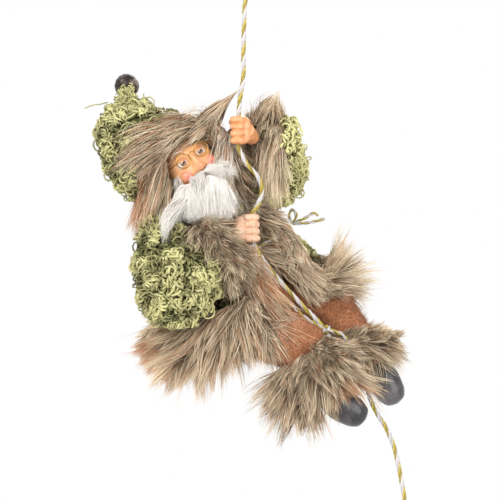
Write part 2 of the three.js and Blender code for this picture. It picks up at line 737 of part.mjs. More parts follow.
const hoodTip = bellCentre.clone().addScaledVector(bellAxis, -15.4);
const hoodShape = (grow = 0) => sweep({
  points: [
    v(-50, 28, -184), v(-53, 20, -165), v(-65, 15, -148), v(-78, 13, -135),
    hoodTip.clone().addScaledVector(bellAxis, -11),
  ],
  radii: [22, 30, 31, 26, 17], sides: 14, steps: 6, toward: v(0, 1, 0), grow,
});
const hoodFilling = (grow = 0) => sweep({
  points: [v(-60, 15, -151), v(-68, 14, -144), v(-78, 13, -135), hoodTip.clone().addScaledVector(bellAxis, -14)],
  radii: [25, 27, 22, 12], sides: 12, steps: 4, toward: v(0, 1, 0), grow,
});
const faceOpening = sweep({
  points: [onHead(-4, 2, 0), onHead(-6, 20, 0), onHead(-8, 60, 0)],
  radii: [[headHalfWidth + 1.5, headHalfHeight + 1], [headHalfWidth + 5, headHalfHeight + 4], [40, 45]],
  sides: 14, steps: 2, toward: headLeft, round: false,
});
const trimAngles = [-168, -140, -112, -84, -56, -28, 0, 28, 56, 84, 112, 138];
const hoodTrimShape = (grow = 0) => sweep({
  points: trimAngles.map((degrees) => onHead(
    (headHalfHeight + 5) * Math.cos(rad(degrees)) - 1,
    7 + 3 * Math.cos(rad(degrees)),
    (headHalfWidth + 7.5) * Math.sin(rad(degrees)),
  )),
  radii: trimAngles.map((degrees) => hoodTrimRadius * (0.86 + 0.14 * Math.cos(rad(degrees)))),
  sides: 10, steps: 16, toward: headFront, grow,
});

// What hangs on the head keeps clear of the coat and the right sleeve at every turn of the neck
const rightSleeveSwept = join(
  ball(shoulderAt('right'), shoulderBall.right + socketGap),
  ...turned(sleeveTube('right', legGap), 'right_shoulder', through(armSwing.right)),
);
const headTurns = through(headSwing, -headSwing, 4);
const pastCoat = (shape) => cut(shape, headTurns.flatMap((degrees) => [
  swung(coatOuter(legGap), neckJoint, degrees), swung(rightSleeveSwept, neckJoint, degrees),
]));

// Bell

const ringCentre = bellJoint.pivot.clone().addScaledVector(bellAxis, -sewnRing);
const bellAcross = v(0, 1, 0).cross(bellAxis);
const sewnRingShape = (grow = 0) => placed(
  new THREE.TorusGeometry(sewnRing, sewnRingWire / 2 + grow, 6, 12),
  ringCentre, v(0, 1, 0), bellAxis, bellAcross);
const shank = placed(
  new THREE.TorusGeometry(shankLoop, shankWire / 2, 6, 12), shankCentre, bellAcross, bellAxis, v(0, -1, 0));
const slotShape = placed(
  new THREE.BoxGeometry(bellRadius * 1.8, bellRadius * 1.2, bellSlot),
  bellCentre.clone().addScaledVector(bellAxis, bellRadius * 0.75), bellAcross, bellAxis, v(0, -1, 0),
);
const bellSolid = cut(
  join(ball(bellCentre, bellRadius, 14), shank), ball(bellCentre, bellRadius - bellWall, 14), slotShape);
const pelletSolid = ball(
  bellCentre.clone().addScaledVector(bellAxis, pelletDiameter / 2 + 0.7 + bellWall - bellRadius),
  pelletDiameter / 2, 8);

const spectaclesSolid = spectaclesShape();
const headSolid = join(...faceShape(), neckPlug());
const hoodSolid = pastCoat(cut(
  hoodShape(), skull(gap), faceOpening, hoodFilling(gap), neckPlug(gap), spectaclesShape(gap),
  sewnRingShape(gap)));
const hoodFillingSolid = cut(hoodFilling(), skull(gap), faceOpening, neckPlug(gap), spectaclesShape(gap));
const hoodTrimSolid = pastCoat(cut(
  hoodTrimShape(), hoodShape(gap), faceShape(gap), spectaclesShape(gap), neckPlug(gap)));
const moustacheSolid = cut(moustacheShape(), faceShape(gap), spectaclesShape(gap));
const beardSolid = pastCoat(cut(
  beardShape(), faceShape(gap), moustacheShape(gap), hoodTrimShape(gap), hoodShape(gap), neckPlug(gap)));

// Torso and coat

const shoulderSockets = ['right', 'left'].map((side) =>
  ball(shoulderAt(side), shoulderBall[side] + socketGap));
const hipSockets = ['right', 'left'].map((side) => ball(hipAt(side), hipBall[side] + socketGap));
const legSwings = (side, shape) => turned(shape, `${side}_hip`, [0, legSwing]);
const thighSwings = ['right', 'left'].flatMap((side) => legSwings(side, thighTube(side, legGap)));

const torsoSolid = cut(torsoShape(), shoulderSockets, neckPlug(gap), spineWire(gap), seatShape(gap));
// The thighs rest on the seat, and only their way out is taken from it
const thighWays = ['right', 'left'].flatMap((side) => turned(
  cut(thighTube(side, legGap), seatShape(gap)), `${side}_hip`, through(legSwing, legSwing / 2, 4)));
const seatSolid = cut(seatShape(), hipSockets, thighWays, spineWire(gap), cordShape(gap));
const coatSolid = cut(coatOuter(), coatInner, splitShape, shoulderSockets, neckPlug(gap), thighSwings);
const liningSolid = cut(
  coatBody([waistLevel, ...skirtLevels], innerCoat),
  coatBody([0.7, ...skirtLevels, 1.3], innerCoat - liningThickness),
  torsoShape(gap), splitShape, thighSwings, seatShape(gap));

// The hem's fur streams away from the coat, and is longest at the sides and the back
const hemTrim = (from, to, stream, grow = 0) => {
  const longer = [0, 0.6, 1, 1, 1, 1, 1].map((share) => share * hemStream);
  return sweep({
    points: longer.map((length, step) =>
      onCoat(from + ((to - from) * step) / 6, 1, 2).addScaledVector(stream, length / 2)),
    radii: longer.map((length) => [hemTrimRadius + length / 2, hemTrimRadius * 0.9]),
    sides: 10, steps: 10, toward: stream, grow, round: false,
  });
};
const hemBack = 180;
const hemSeam = 2;
const hemTrimShape = {
  right: (grow = 0) => hemTrim(-46, hemBack - 360 + hemSeam, v(-0.5, 0.1, -0.85).normalize(), grow),
  left: (grow = 0) => hemTrim(20, hemBack - hemSeam, v(0.3, 0.4, -0.85).normalize(), grow),
};
const frontTrimPlaces = {
  right: [[-26, 0.3], [-24, 0.5], [-26, waistLevel], [-36, 0.88], [-48, 0.98]],
  left: [[24, 0.3], [34, 0.5], [30, waistLevel], [26, 0.88], [20, 0.98]],
};
const frontTrimShape = (side, grow = 0) => sweep({
  points: frontTrimPlaces[side].map(([degrees, level]) => onCoat(degrees, level, frontTrimRadius * 0.3)),
  radii: [frontTrimRadius * 0.8, frontTrimRadius, frontTrimRadius, frontTrimRadius, frontTrimRadius * 0.9],
  sides: 10, steps: 8, toward: left, grow,
});

const waistCordShape = (grow = 0) => sweep({
  points: Array.from({ length: coatSides }, (_, step) =>
    onCoat((step * 360) / coatSides, waistLevel, (waistCordDiameter / 2 + gap) * 1.5)),
  radii: [waistCordDiameter / 2], sides: 6, steps: coatSides, toward: up, grow, closed: true,
});
const bowAngle = 58;
const waistKnotCentre = onCoat(bowAngle, waistLevel, waistCordDiameter + 1.5);
const waistKnot = cut(
  ball(waistKnotCentre, waistCordDiameter * 1.4, 10), waistCordShape(gap), coatOuter(gap));
const bowHub = waistKnotCentre.clone().addScaledVector(v(0.75, 0, 0.66), waistCordDiameter * 2.3);
const bowStrand = (points, steps) => sweep({
  points: points.map((shares) => bowHub.clone().addScaledVector(v(...shares), bowLoopLength)),
  radii: [waistCordDiameter / 2], sides: 6, steps, toward: v(0, 1, 0.2), round: true,
});
const waistBow = cut(
  join(
    ball(bowHub, waistCordDiameter * 0.8, 8),
    bowStrand([[0, 0, 0], [-0.15, 0.06, 0.4], [0, 0.06, 0.62], [0.15, 0, 0.4], [0.04, 0, 0]], 8),
    bowStrand([[0, 0, 0], [0.5, -0.12, 0.24], [0.95, -0.18, 0.47], [1.1, -0.18, 0.35]], 5),
    bowStrand([[0, 0, 0], [0.5, 0.06, 0.04], [1, 0.12, 0.12], [1.4, 0.12, 0.25]], 4),
  ),
  ball(waistKnotCentre, waistCordDiameter * 1.4 + gap, 10), waistCordShape(gap), coatOuter(gap),
);

const tieKnotSolid = cut(tieKnotShape(), cordShape(gap), tieStrandShape(gap));
const tieStrandSolid = cut(tieStrandShape(), seatShape(gap), cordShape(gap));
const tieTailSolid = cut(tieTailShape, tieKnotShape(gap), cordShape(gap));

// Each arm and each leg, and what the coat's trims leave them

const beardSwept = join(...headTurns.map((degrees) => swung(beardShape(legGap), neckJoint, degrees)));
function arm(side) {
  const swings = (shape, spans) => turned(shape, `${side}_shoulder`, through(-armSwing[side], 0, spans));
  const pastFixed = (shape) => cut(
    shape, swings(coatOuter(turnGap), 2), side === 'right' ? swings(waistCordShape(legGap), 4) : []);
  // A hand's fingers clear the cord as it leaves it
  const pastCord = turned(cordShape(turnGap), `${side}_shoulder`, [0, -2.5]);
  const sleeve = cut(
    join(pastFixed(sleeveTube(side)), ball(shoulderAt(side), shoulderBall[side])), armWire(side)(gap));
  const cuff = pastFixed(cut(
    sleeveCuffBand(side), sleeveTube(side, gap), ball(shoulderAt(side), shoulderBall[side] + gap),
    handShape(side, gap), armWire(side)(gap), cordShape(turnGap),
    headTurns.map((degrees) => swung(hoodTrimShape(legGap), neckJoint, degrees)),
    side === 'right' ? swings(beardSwept, 3) : [],
  ));
  return [
    piece(`${side}_sleeve`, sleeve, boucle),
    piece(`${side}_arm_wire`, armWire(side)(), bareSteel),
    piece(`${side}_hand`, cut(handShape(side), armWire(side)(gap), pastCord), resinSkin),
    piece(`${side}_sleeve_cuff`, cuff, pile),
  ];
}

const armSwings = (side) => [
  ...turned(handShape(side, legGap), `${side}_shoulder`, through(armSwing[side], 0, 4)),
  ...[sleeveTube(side, turnGap), sleeveCuffBand(side, turnGap)].flatMap((shape) =>
    turned(shape, `${side}_shoulder`, through(armSwing[side]))),
];
const kneeAndShin = (side) => join(ball(knee[side], kneeBall[side] + legGap), shinTube(side, legGap));
const legSwept = ['right', 'left'].flatMap((side) => [
  ...legSwings(side, thighTube(side, legGap)), ...legSwings(side, kneeAndShin(side)),
]);
// The coat's cloth and its lining, down past the hem
const clothBand = cut(
  coatBody([...bodyLevels, ...skirtLevels, 1.06], gap),
  coatBody(
    [0.04, 0.1, 0.25, 0.4, 0.55, waistLevel, ...skirtLevels, 1.3], innerCoat - liningThickness - gap),
);
const hemSolid = (side) => cut(
  hemTrimShape[side](), coatOuter(gap), clothBand, legSwept, armSwings('right'), cordShape(gap));
const frontTrimSolid = (side, ...others) => cut(
  frontTrimShape(side), coatOuter(gap), clothBand, hemTrimShape.right(gap), hemTrimShape.left(gap),
  waistCordShape(gap), cordShape(gap), tieStrandShape(gap), legSwept, armSwings(side), others,
);

const legPieces = { right: leg('right'), left: leg('left') };
const legGroup = (side) => assembly(
  joints[`${side}_hip`].pivot, legPieces[side].upper,
  [assembly(joints[`${side}_knee`].pivot, legPieces[side].lower)]);

const bellGroup = assembly(bellJoint.pivot, [
  piece('bell_shell', bellSolid, darkBronze),
  piece('bell_pellet', pelletSolid, bareSteel),
]);
const headGroup = assembly(neckPivot, [
  piece('head', headSolid, resinSkin),
  piece('spectacles', spectaclesSolid, goldWire),
  piece('moustache', moustacheSolid, whiteFibre),
  piece('beard', beardSolid, whiteFibre),
  piece('hood', hoodSolid, boucle),
  piece('hood_filling', hoodFillingSolid, stuffing),
  piece('hood_trim', hoodTrimSolid, pile),
  piece('bell_ring', sewnRingShape(), twistedCord),
], [bellGroup]);
const armGroup = (side) => assembly(joints[`${side}_shoulder`].pivot, arm(side));

const doll = assembly(v(0, 0, 0), [
  piece('climbing_cord', cordShape(), twistedCord),
  piece('hanging_loop', hangingLoop, twistedCord),
  piece('loop_knot', loopKnot, twistedCord),
  piece('end_knot', endKnot, twistedCord),
  piece('tie_strand', tieStrandSolid, twistedCord),
  piece('tie_knot', tieKnotSolid, twistedCord),
  piece('tie_tail', tieTailSolid, twistedCord),
  piece('waist_cord', waistCordShape(), twistedCord),
  piece('waist_knot', waistKnot, twistedCord),
  piece('waist_bow', waistBow, twistedCord),
  piece('torso', torsoSolid, stuffing),
  piece('spine_wire', spineWire(), bareSteel),
  piece('coat', coatSolid, boucle),
  piece('coat_lining', liningSolid, liningCloth),
  piece('right_hem_trim', hemSolid('right'), pile),
  piece('left_hem_trim', hemSolid('left'), pile),
  piece('right_front_trim', frontTrimSolid('right'), pile),
  piece('left_front_trim', frontTrimSolid('left', frontTrimShape('right', gap)), pile),
  piece('trouser_seat', seatSolid, felt),
], [headGroup, armGroup('right'), armGroup('left'), legGroup('right'), legGroup('left')]);

export default doll;
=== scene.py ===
import math
from collections import namedtuple

import bpy
import numpy as np
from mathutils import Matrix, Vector
from mathutils.bvhtree import BVHTree
from mathutils.kdtree import KDTree


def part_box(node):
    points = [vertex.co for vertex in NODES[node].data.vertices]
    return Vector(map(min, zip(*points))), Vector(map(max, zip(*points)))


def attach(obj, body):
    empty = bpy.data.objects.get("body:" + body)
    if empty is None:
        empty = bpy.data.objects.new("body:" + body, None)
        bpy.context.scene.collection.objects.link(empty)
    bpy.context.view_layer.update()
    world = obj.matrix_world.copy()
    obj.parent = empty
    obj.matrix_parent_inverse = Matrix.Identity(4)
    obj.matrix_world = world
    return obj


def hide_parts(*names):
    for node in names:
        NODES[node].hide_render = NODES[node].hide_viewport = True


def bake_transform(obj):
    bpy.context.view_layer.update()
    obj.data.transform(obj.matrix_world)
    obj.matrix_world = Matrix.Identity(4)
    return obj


bl_info = {
    "name": "Climbing doll",
    "version": (1, 0, 0),
    "blender": (4, 5, 0),
    "location": "View3D > Sidebar > Doll",
    "description": "Dresses a doll on a cord in fur, curly yarn, felt, a white beard and painted resin",
    "category": "Add Mesh",
}

# Metres. X runs to the right of the view that shows the face, Y away from it, Z up.
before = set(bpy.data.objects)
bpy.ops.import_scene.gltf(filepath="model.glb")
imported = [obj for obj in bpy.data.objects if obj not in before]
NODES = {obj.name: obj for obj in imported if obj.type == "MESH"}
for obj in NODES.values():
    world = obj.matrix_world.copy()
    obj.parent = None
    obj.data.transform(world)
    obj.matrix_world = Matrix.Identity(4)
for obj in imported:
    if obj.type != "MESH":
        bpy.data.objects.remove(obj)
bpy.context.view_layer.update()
MM = 0.001
# Cells of the strands' map, one for each shade
SHADES = 64
# The shade just short of the last cell's end
TOP_SHADE = 0.999
# A length too short to have a direction
TINY = 1e-6


def vec(x, y, z):
    return np.array([x, y, z], dtype=float)


def unit(a):
    return a / np.maximum(np.linalg.norm(a, axis=-1, keepdims=True), 1e-12)


def in_mm(points):
    return np.array(points) * MM


# The head's middle and its own directions
HEAD = vec(-40, 12, -159) * MM
HEAD_TILT = math.radians(36.6)
HEAD_TURNED = math.radians(15)
HEAD_UP = vec(-math.sin(HEAD_TILT), 0, math.cos(HEAD_TILT))
HEAD_FRONT = (vec(0, -1, 0) * math.cos(HEAD_TURNED)
              + vec(math.cos(HEAD_TILT), 0, math.sin(HEAD_TILT)) * math.sin(HEAD_TURNED))
HEAD_LEFT = np.cross(HEAD_UP, HEAD_FRONT)
# Half the skull's width, depth and height, in millimetres
HEAD_SIZE = (19, 21, 24)
EYES = [HEAD + MM * (side * HEAD_LEFT + 15.6 * HEAD_FRONT + 5.0 * HEAD_UP) for side in (-7.6, 7.6)]
EYE_RADIUS = 0.0042
LID_RADIUS = 0.00455


def on_head(side, out, up):
    """A place on the head, from its middle, in millimetres."""
    return HEAD + MM * (side * HEAD_LEFT + out * HEAD_FRONT + up * HEAD_UP)


# Shader nodes


class Wire:
    """A shader socket that takes part in sums as a number does."""

    def __init__(self, finish, socket):
        self.finish = finish
        self.socket = socket

    def math(self, operation, a, b):
        return self.finish.node("ShaderNodeMath", {"operation": operation}, {0: a, 1: b})

    def __add__(self, other):
        return self.math("ADD", self, other)

    def __radd__(self, other):
        return self.math("ADD", other, self)

    def __sub__(self, other):
        return self.math("SUBTRACT", self, other)

    def __rsub__(self, other):
        return self.math("SUBTRACT", other, self)

    def __mul__(self, other):
        return self.math("MULTIPLY", self, other)

    def __rmul__(self, other):
        return self.math("MULTIPLY", other, self)

    def above(self, other):
        return self.math("GREATER_THAN", self, other)

    def larger(self, other):
        return self.math("MAXIMUM", self, other)


class Finish:
    """A material or a world in the making, with one method that adds any node."""

    def __init__(self, name, kind="materials"):
        self.owner = getattr(bpy.data, kind).new(name)
        self.owner.use_nodes = True
        self.tree = self.owner.node_tree
        self.tree.nodes.clear()

    def node(self, kind, settings=None, sockets=None, output=0):
        node = self.tree.nodes.new(kind)
        for name, value in (settings or {}).items():
            if name == "stops":
                ramp = node.color_ramp
                while len(ramp.elements) < len(value):
                    ramp.elements.new(0.5)
                for element, (place, colour) in zip(ramp.elements, value):
                    element.position = place
                    element.color = (*colour, 1)
            else:
                setattr(node, name, value)
        for name, value in (sockets or {}).items():
            if isinstance(value, Wire):
                self.tree.links.new(value.socket, node.inputs[name])
            else:
                node.inputs[name].default_value = value
        return Wire(self, node.outputs[output]) if node.outputs else None

    def ramp(self, value, stops):
        return self.node("ShaderNodeValToRGB", {"stops": stops}, {0: value})

    def mix(self, share, a, b):
        return self.node("ShaderNodeMix", {"data_type": "RGBA"}, {0: share, 6: a, 7: b}, output=2)

    def noise(self, scale, detail=3.0, roughness=0.55):
        sockets = {"Vector": self.place(), "Scale": scale, "Detail": detail, "Roughness": roughness}
        return self.node("ShaderNodeTexNoise", {}, sockets)

    def place(self):
        return self.node("ShaderNodeTexCoord", output=3)

    def strand(self):
        """Each strand's shade, and the share of its length from root to tip."""
        place = self.node("ShaderNodeUVMap", {"uv_map": "OFBake"})
        return [self.node("ShaderNodeSeparateXYZ", {}, {0: place}, output=axis) for axis in (0, 1)]

    def distance(self, place, centre):
        ends = {0: place, 1: tuple(centre)}
        return self.node("ShaderNodeVectorMath", {"operation": "DISTANCE"}, ends, output=1)

    def bump(self, height, strength, distance):
        return self.node("ShaderNodeBump", {}, {"Strength": strength, "Distance": distance, "Height": height})

    def surface(self, sockets):
        shader = self.node("ShaderNodeBsdfPrincipled", {}, sockets)
        self.node("ShaderNodeOutputMaterial", {}, {0: shader})
        return self.owner


def nap_finish(name, dark, light, scale, roughness=0.95, depth=0.0006, fineness=0.4):
    """Short soft cloth: mottled, with a fine bump."""
    finish = Finish(name)
    broad = finish.noise(scale)
    fine = finish.noise(scale * 9, 4.0, 0.7)
    colour = finish.ramp(broad * (1 - fineness) + fine * fineness, [(0.33, dark), (0.67, light)])
    return finish.surface({
        "Base Color": colour, "Roughness": roughness, "Specular IOR Level": 0.15,
        "Normal": finish.bump(fine, 0.7, depth)})


# Meshes


def mesh_object(name, points, faces, uvs=None):
    """An object from arrays of points and faces, with the strands' own map where there is one."""
    mesh = bpy.data.meshes.new(name)
    faces = [np.asarray(group, dtype=np.int32) for group in faces]
    sizes = np.concatenate([np.full(len(group), group.shape[1], dtype=np.int32) for group in faces])
    corners = np.concatenate([group.ravel() for group in faces])
    mesh.vertices.add(len(points))
    mesh.vertices.foreach_set("co", np.asarray(points, dtype=np.float32).ravel())
    mesh.loops.add(len(corners))
    mesh.loops.foreach_set("vertex_index", corners)
    mesh.polygons.add(len(sizes))
    mesh.polygons.foreach_set("loop_start", np.concatenate([[0], np.cumsum(sizes)[:-1]]).astype(np.int32))
    mesh.polygons.foreach_set("loop_total", sizes)
    mesh.polygons.foreach_set("use_smooth", np.ones(len(sizes), dtype=bool))
    if uvs is not None:
        layer = mesh.uv_layers.new(name="OFBake")
        layer.data.foreach_set("uv", np.asarray(uvs, dtype=np.float32).ravel())
    mesh.update(calc_edges=True)
    mesh.validate()
    made = bpy.data.objects.new(name, mesh)
    bpy.context.scene.collection.objects.link(made)
    return made


def round_quads(rings, around):
    """The faces between closed rings of points."""
    row, col = np.arange(rings - 1)[:, None] * around, np.arange(around)[None, :]
    after = (col + 1) % around
    return np.stack([row + col, row + after, row + around + after, row + around + col], axis=2).reshape(-1, 4)


def arrays(thing):
    """The points and triangles of an object's mesh."""
    mesh = thing.data
    points = np.empty(len(mesh.vertices) * 3, dtype=np.float32)
    mesh.vertices.foreach_get("co", points)
    mesh.calc_loop_triangles()
    triangles = np.empty(len(mesh.loop_triangles) * 3, dtype=np.int32)
    mesh.loop_triangles.foreach_get("vertices", triangles)
    return points.reshape(-1, 3).astype(float), triangles.reshape(-1, 3)


def move_points(thing, points):
    thing.data.vertices.foreach_set("co", points.ravel())
    thing.data.update()


def merged(things):
    """The points and triangles of several objects' meshes, as those of one."""
    points, triangles, shift = [], [], 0
    for thing in things:
        place, faces = arrays(thing)
        points.append(place)
        triangles.append(faces + shift)
        shift += len(place)
    return np.concatenate(points), np.concatenate(triangles)


def soft_form(name, nodes, voxel, smooth, swell):
    """One smooth form in the place of some of the frame's solids."""
    points, triangles = merged([NODES[node] for node in nodes])
    rough = mesh_object(name + "_rough", points, [triangles])
    remesh = rough.modifiers.new("even", "REMESH")
    remesh.mode = "VOXEL"
    remesh.voxel_size = voxel
    soften = rough.modifiers.new("soften", "SMOOTH")
    soften.iterations = smooth
    soften.factor = 0.5
    if swell:
        grow = rough.modifiers.new("swell", "DISPLACE")
        grow.strength = swell
        grow.mid_level = 0.0
    graph = bpy.context.evaluated_depsgraph_get()
    mesh = bpy.data.meshes.new_from_object(rough.evaluated_get(graph))
    bpy.data.objects.remove(rough)
    mesh.name = name
    mesh.polygons.foreach_set("use_smooth", np.ones(len(mesh.polygons), dtype=bool))
    form = bpy.data.objects.new(name, mesh)
    bpy.context.scene.collection.objects.link(form)
    return form


def tree_of(things):
    """A search tree over some objects' meshes, for what lies near or in the way."""
    points, triangles = merged(things)
    return BVHTree.FromPolygons(points.tolist(), triangles.tolist())


def nearest_of(seeds, places):
    """Which seed is the nearest to each place, and how far away it is."""
    tree = KDTree(len(seeds))
    for index, seed in enumerate(seeds):
        tree.insert(Vector(seed), index)
    tree.balance()
    found = [tree.find(Vector(place)) for place in places]
    return np.array([hit[1] for hit in found]), np.array([hit[2] for hit in found])


# Solids that hair and yarn meet, and hard ones that they mustn't run through
NEIGHBOURS = [
    "head", "hood", "hood_trim", "beard", "coat", "torso", "trouser_seat", "right_hem_trim", "left_hem_trim",
    "right_front_trim", "left_front_trim", "right_sleeve", "left_sleeve", "right_sleeve_cuff",
    "left_sleeve_cuff", "right_hand", "left_hand", "right_thigh", "left_thigh", "right_shin", "left_shin",
    "right_boot", "left_boot", "right_boot_cuff", "left_boot_cuff"]
HARD_NODES = ["head", "right_hand", "left_hand", "spectacles", "right_boot", "left_boot"]
# How far off a surface a look outwards starts, how deep a strand is still lifted out of a solid, and the gap
# under its root
OFF_SURFACE, LIFTED_FROM, ROOT_GAP = 0.0004, 0.014, 0.0002


def neighbours(*left_out):
    """The frame's solids that hair and yarn meet, apart from some."""
    return [NODES[node] for node in NEIGHBOURS if node not in left_out]


def scatter(thing, count, rng):
    """Places spread evenly over an object, and the way out at each."""
    points, triangles = arrays(thing)
    corners = points[triangles]
    cross = np.cross(corners[:, 1] - corners[:, 0], corners[:, 2] - corners[:, 0])
    area = np.linalg.norm(cross, axis=1)
    chosen = rng.choice(len(area), size=count, p=area / area.sum())
    a, b = rng.random((2, count))
    fold = a + b > 1
    a[fold], b[fold] = 1 - a[fold], 1 - b[fold]
    tri = corners[chosen]
    place = tri[:, 0] + a[:, None] * (tri[:, 1] - tri[:, 0]) + b[:, None] * (tri[:, 2] - tri[:, 0])
    normals = np.zeros_like(points)
    for corner in range(3):
        np.add.at(normals, triangles[:, corner], cross)
    normals = unit(normals)
    share = np.stack([1 - a - b, a, b], axis=1)
    return place, unit((normals[triangles[chosen]] * share[:, :, None]).sum(axis=1))


def with_more(place, out, node, count, chosen, rng):
    """Places, and those on a neighbouring solid that a test picks."""
    more, way_out = scatter(NODES[node], count, rng)
    held = chosen(more, way_out)
    return np.concatenate([place, more[held]]), np.concatenate([out, way_out[held]])


def uncovered(place, out, tree, reach):
    """Which places have nothing in front of them within reach."""
    begin = place + out * OFF_SURFACE
    free = [tree.ray_cast(Vector(p), Vector(n), reach)[0] is None for p, n in zip(begin, out)]
    return np.array(free, dtype=bool)


def unblocked(paths):
    """Which strands run clear of the hard pieces."""
    tree = tree_of([NODES[node] for node in HARD_NODES])
    clear = np.ones(len(paths), dtype=bool)
    marks = [0, paths.shape[1] // 2, paths.shape[1] - 1]
    for index, path in enumerate(paths):
        for start, end in zip(marks[:-1], marks[1:]):
            span = path[end] - path[start]
            length = float(np.linalg.norm(span))
            if length <= TINY:
                continue
            if tree.ray_cast(Vector(path[start]), Vector(span / length), length)[0] is not None:
                clear[index] = False
                break
    return clear


def lay_over(paths, tree, tip_gap):
    """Strands lifted out of what they would run into, so that they lie on it."""
    rings = paths.shape[1]
    for ring in range(1, rings):
        gap = ROOT_GAP + (tip_gap - ROOT_GAP) * ring / (rings - 1)
        for index in range(len(paths)):
            place = Vector(paths[index, ring])
            near, normal, _, _ = tree.find_nearest(place, LIFTED_FROM)
            if near is not None:
                depth = (place - near).dot(normal)
                if depth < gap:
                    paths[index, ring] += np.array(normal) * (gap - depth)
    if rings > 3:
        paths[:, 2:-1] = (paths[:, 1:-2] + 2 * paths[:, 2:-1] + paths[:, 3:]) / 4
    return paths


def cells(shade):
    """The cell of the strands' map that each shade, from 0 to 1, belongs to."""
    return np.floor(shade * SHADES)


def ribbons(name, paths, widths, shades, rng):
    """Tapered flat strands along paths, each with its own cell of the map."""
    count, rings = paths.shape[:2]
    along = unit(np.gradient(paths, axis=1))
    side = unit(np.cross(along, unit(rng.normal(size=(count, 1, 3)))))
    share = np.linspace(0, 1, rings)[None, :, None]
    half = widths[:, None, None] * 0.5 * (1 - 0.8 * share ** 1.5)
    left = paths[:, :-1] - (side * half)[:, :-1]
    right = paths[:, :-1] + (side * half)[:, :-1]
    body = np.stack([left, right], axis=2).reshape(count, -1, 3)
    points = np.concatenate([body, paths[:, -1:]], axis=1).reshape(-1, 3)
    each = 2 * (rings - 1) + 1
    base = (np.arange(count) * each)[:, None]
    step = np.arange(rings - 2)[None, :] * 2
    quads = np.stack([base + step, base + step + 1, base + step + 3, base + step + 2], axis=2)
    tip = 2 * (rings - 2)
    ends = np.stack([base[:, 0] + tip, base[:, 0] + tip + 1, base[:, 0] + tip + 2], axis=1)
    low, high = (shades + 0.15) / SHADES, (shades + 0.85) / SHADES
    marks = np.linspace(0, 1, rings)
    v0, v1, last = marks[:-2], marks[1:-1], marks[-2]
    quad_uv = np.empty((count, rings - 2, 4, 2))
    for corner, (u, v) in enumerate(((low, v0), (high, v0), (high, v1), (low, v1))):
        quad_uv[:, :, corner, 0] = u[:, None]
        quad_uv[:, :, corner, 1] = v[None, :]
    end_uv = np.empty((count, 3, 2))
    end_uv[:, 0] = np.stack([low, np.full(count, last)], axis=1)
    end_uv[:, 1] = np.stack([high, np.full(count, last)], axis=1)
    end_uv[:, 2] = np.stack([(low + high) / 2, np.ones(count)], axis=1)
    uvs = np.concatenate([quad_uv.reshape(-1, 2), end_uv.reshape(-1, 2)])
    return mesh_object(name, points, [quads.reshape(-1, 4), ends], uvs)


# Across a thin hair
FINE_HAIR = 0.00022


def fine_hair(name, paths, rng):
    """Thin hairs, each in a shade picked at random."""
    shades = np.floor(rng.uniform(0, SHADES, len(paths)))
    return ribbons(name, paths, np.full(len(paths), FINE_HAIR), shades, rng)


def tubes(name, paths, radius, shades, sides=4, taper=True):
    """Round yarn along paths, closed at both ends by narrowing, each with its own cell of the map."""
    count, rings = paths.shape[:2]
    along = unit(np.gradient(paths, axis=1))
    steady = unit(np.cross(along, unit(along.mean(axis=1, keepdims=True) + vec(0.31, 0.57, 0.2))))
    other = np.cross(along, steady)
    share = np.linspace(0, 1, rings)
    size = np.asarray(radius).reshape(-1, 1) * np.ones((count, rings))
    if taper:
        size = size * np.where((share == 0) | (share == 1), 0.25, 1.0)[None, :]
    turn = 2 * np.pi * np.arange(sides) / sides
    ring = (steady[:, :, None] * np.cos(turn)[None, None, :, None]
            + other[:, :, None] * np.sin(turn)[None, None, :, None])
    points = (paths[:, :, None] + ring * size[:, :, None, None]).reshape(-1, 3)
    quads = (np.arange(count) * rings * sides)[:, None, None] + round_quads(rings, sides)[None]
    quad_uv = np.empty((count, rings - 1, sides, 4, 2))
    left = (shades[:, None] + 0.1 + 0.8 * np.arange(sides)[None, :] / sides) / SHADES
    right = (shades[:, None] + 0.1 + 0.8 * (np.arange(sides)[None, :] + 1) / sides) / SHADES
    for corner, (u, v) in enumerate(((left, 0), (right, 0), (right, 1), (left, 1))):
        quad_uv[:, :, :, corner, 0] = u[:, None, :]
        quad_uv[:, :, :, corner, 1] = share[v:len(share) - 1 + v][None, :, None]
    return mesh_object(name, points, [quads.reshape(-1, 4)], quad_uv.reshape(-1, 2))


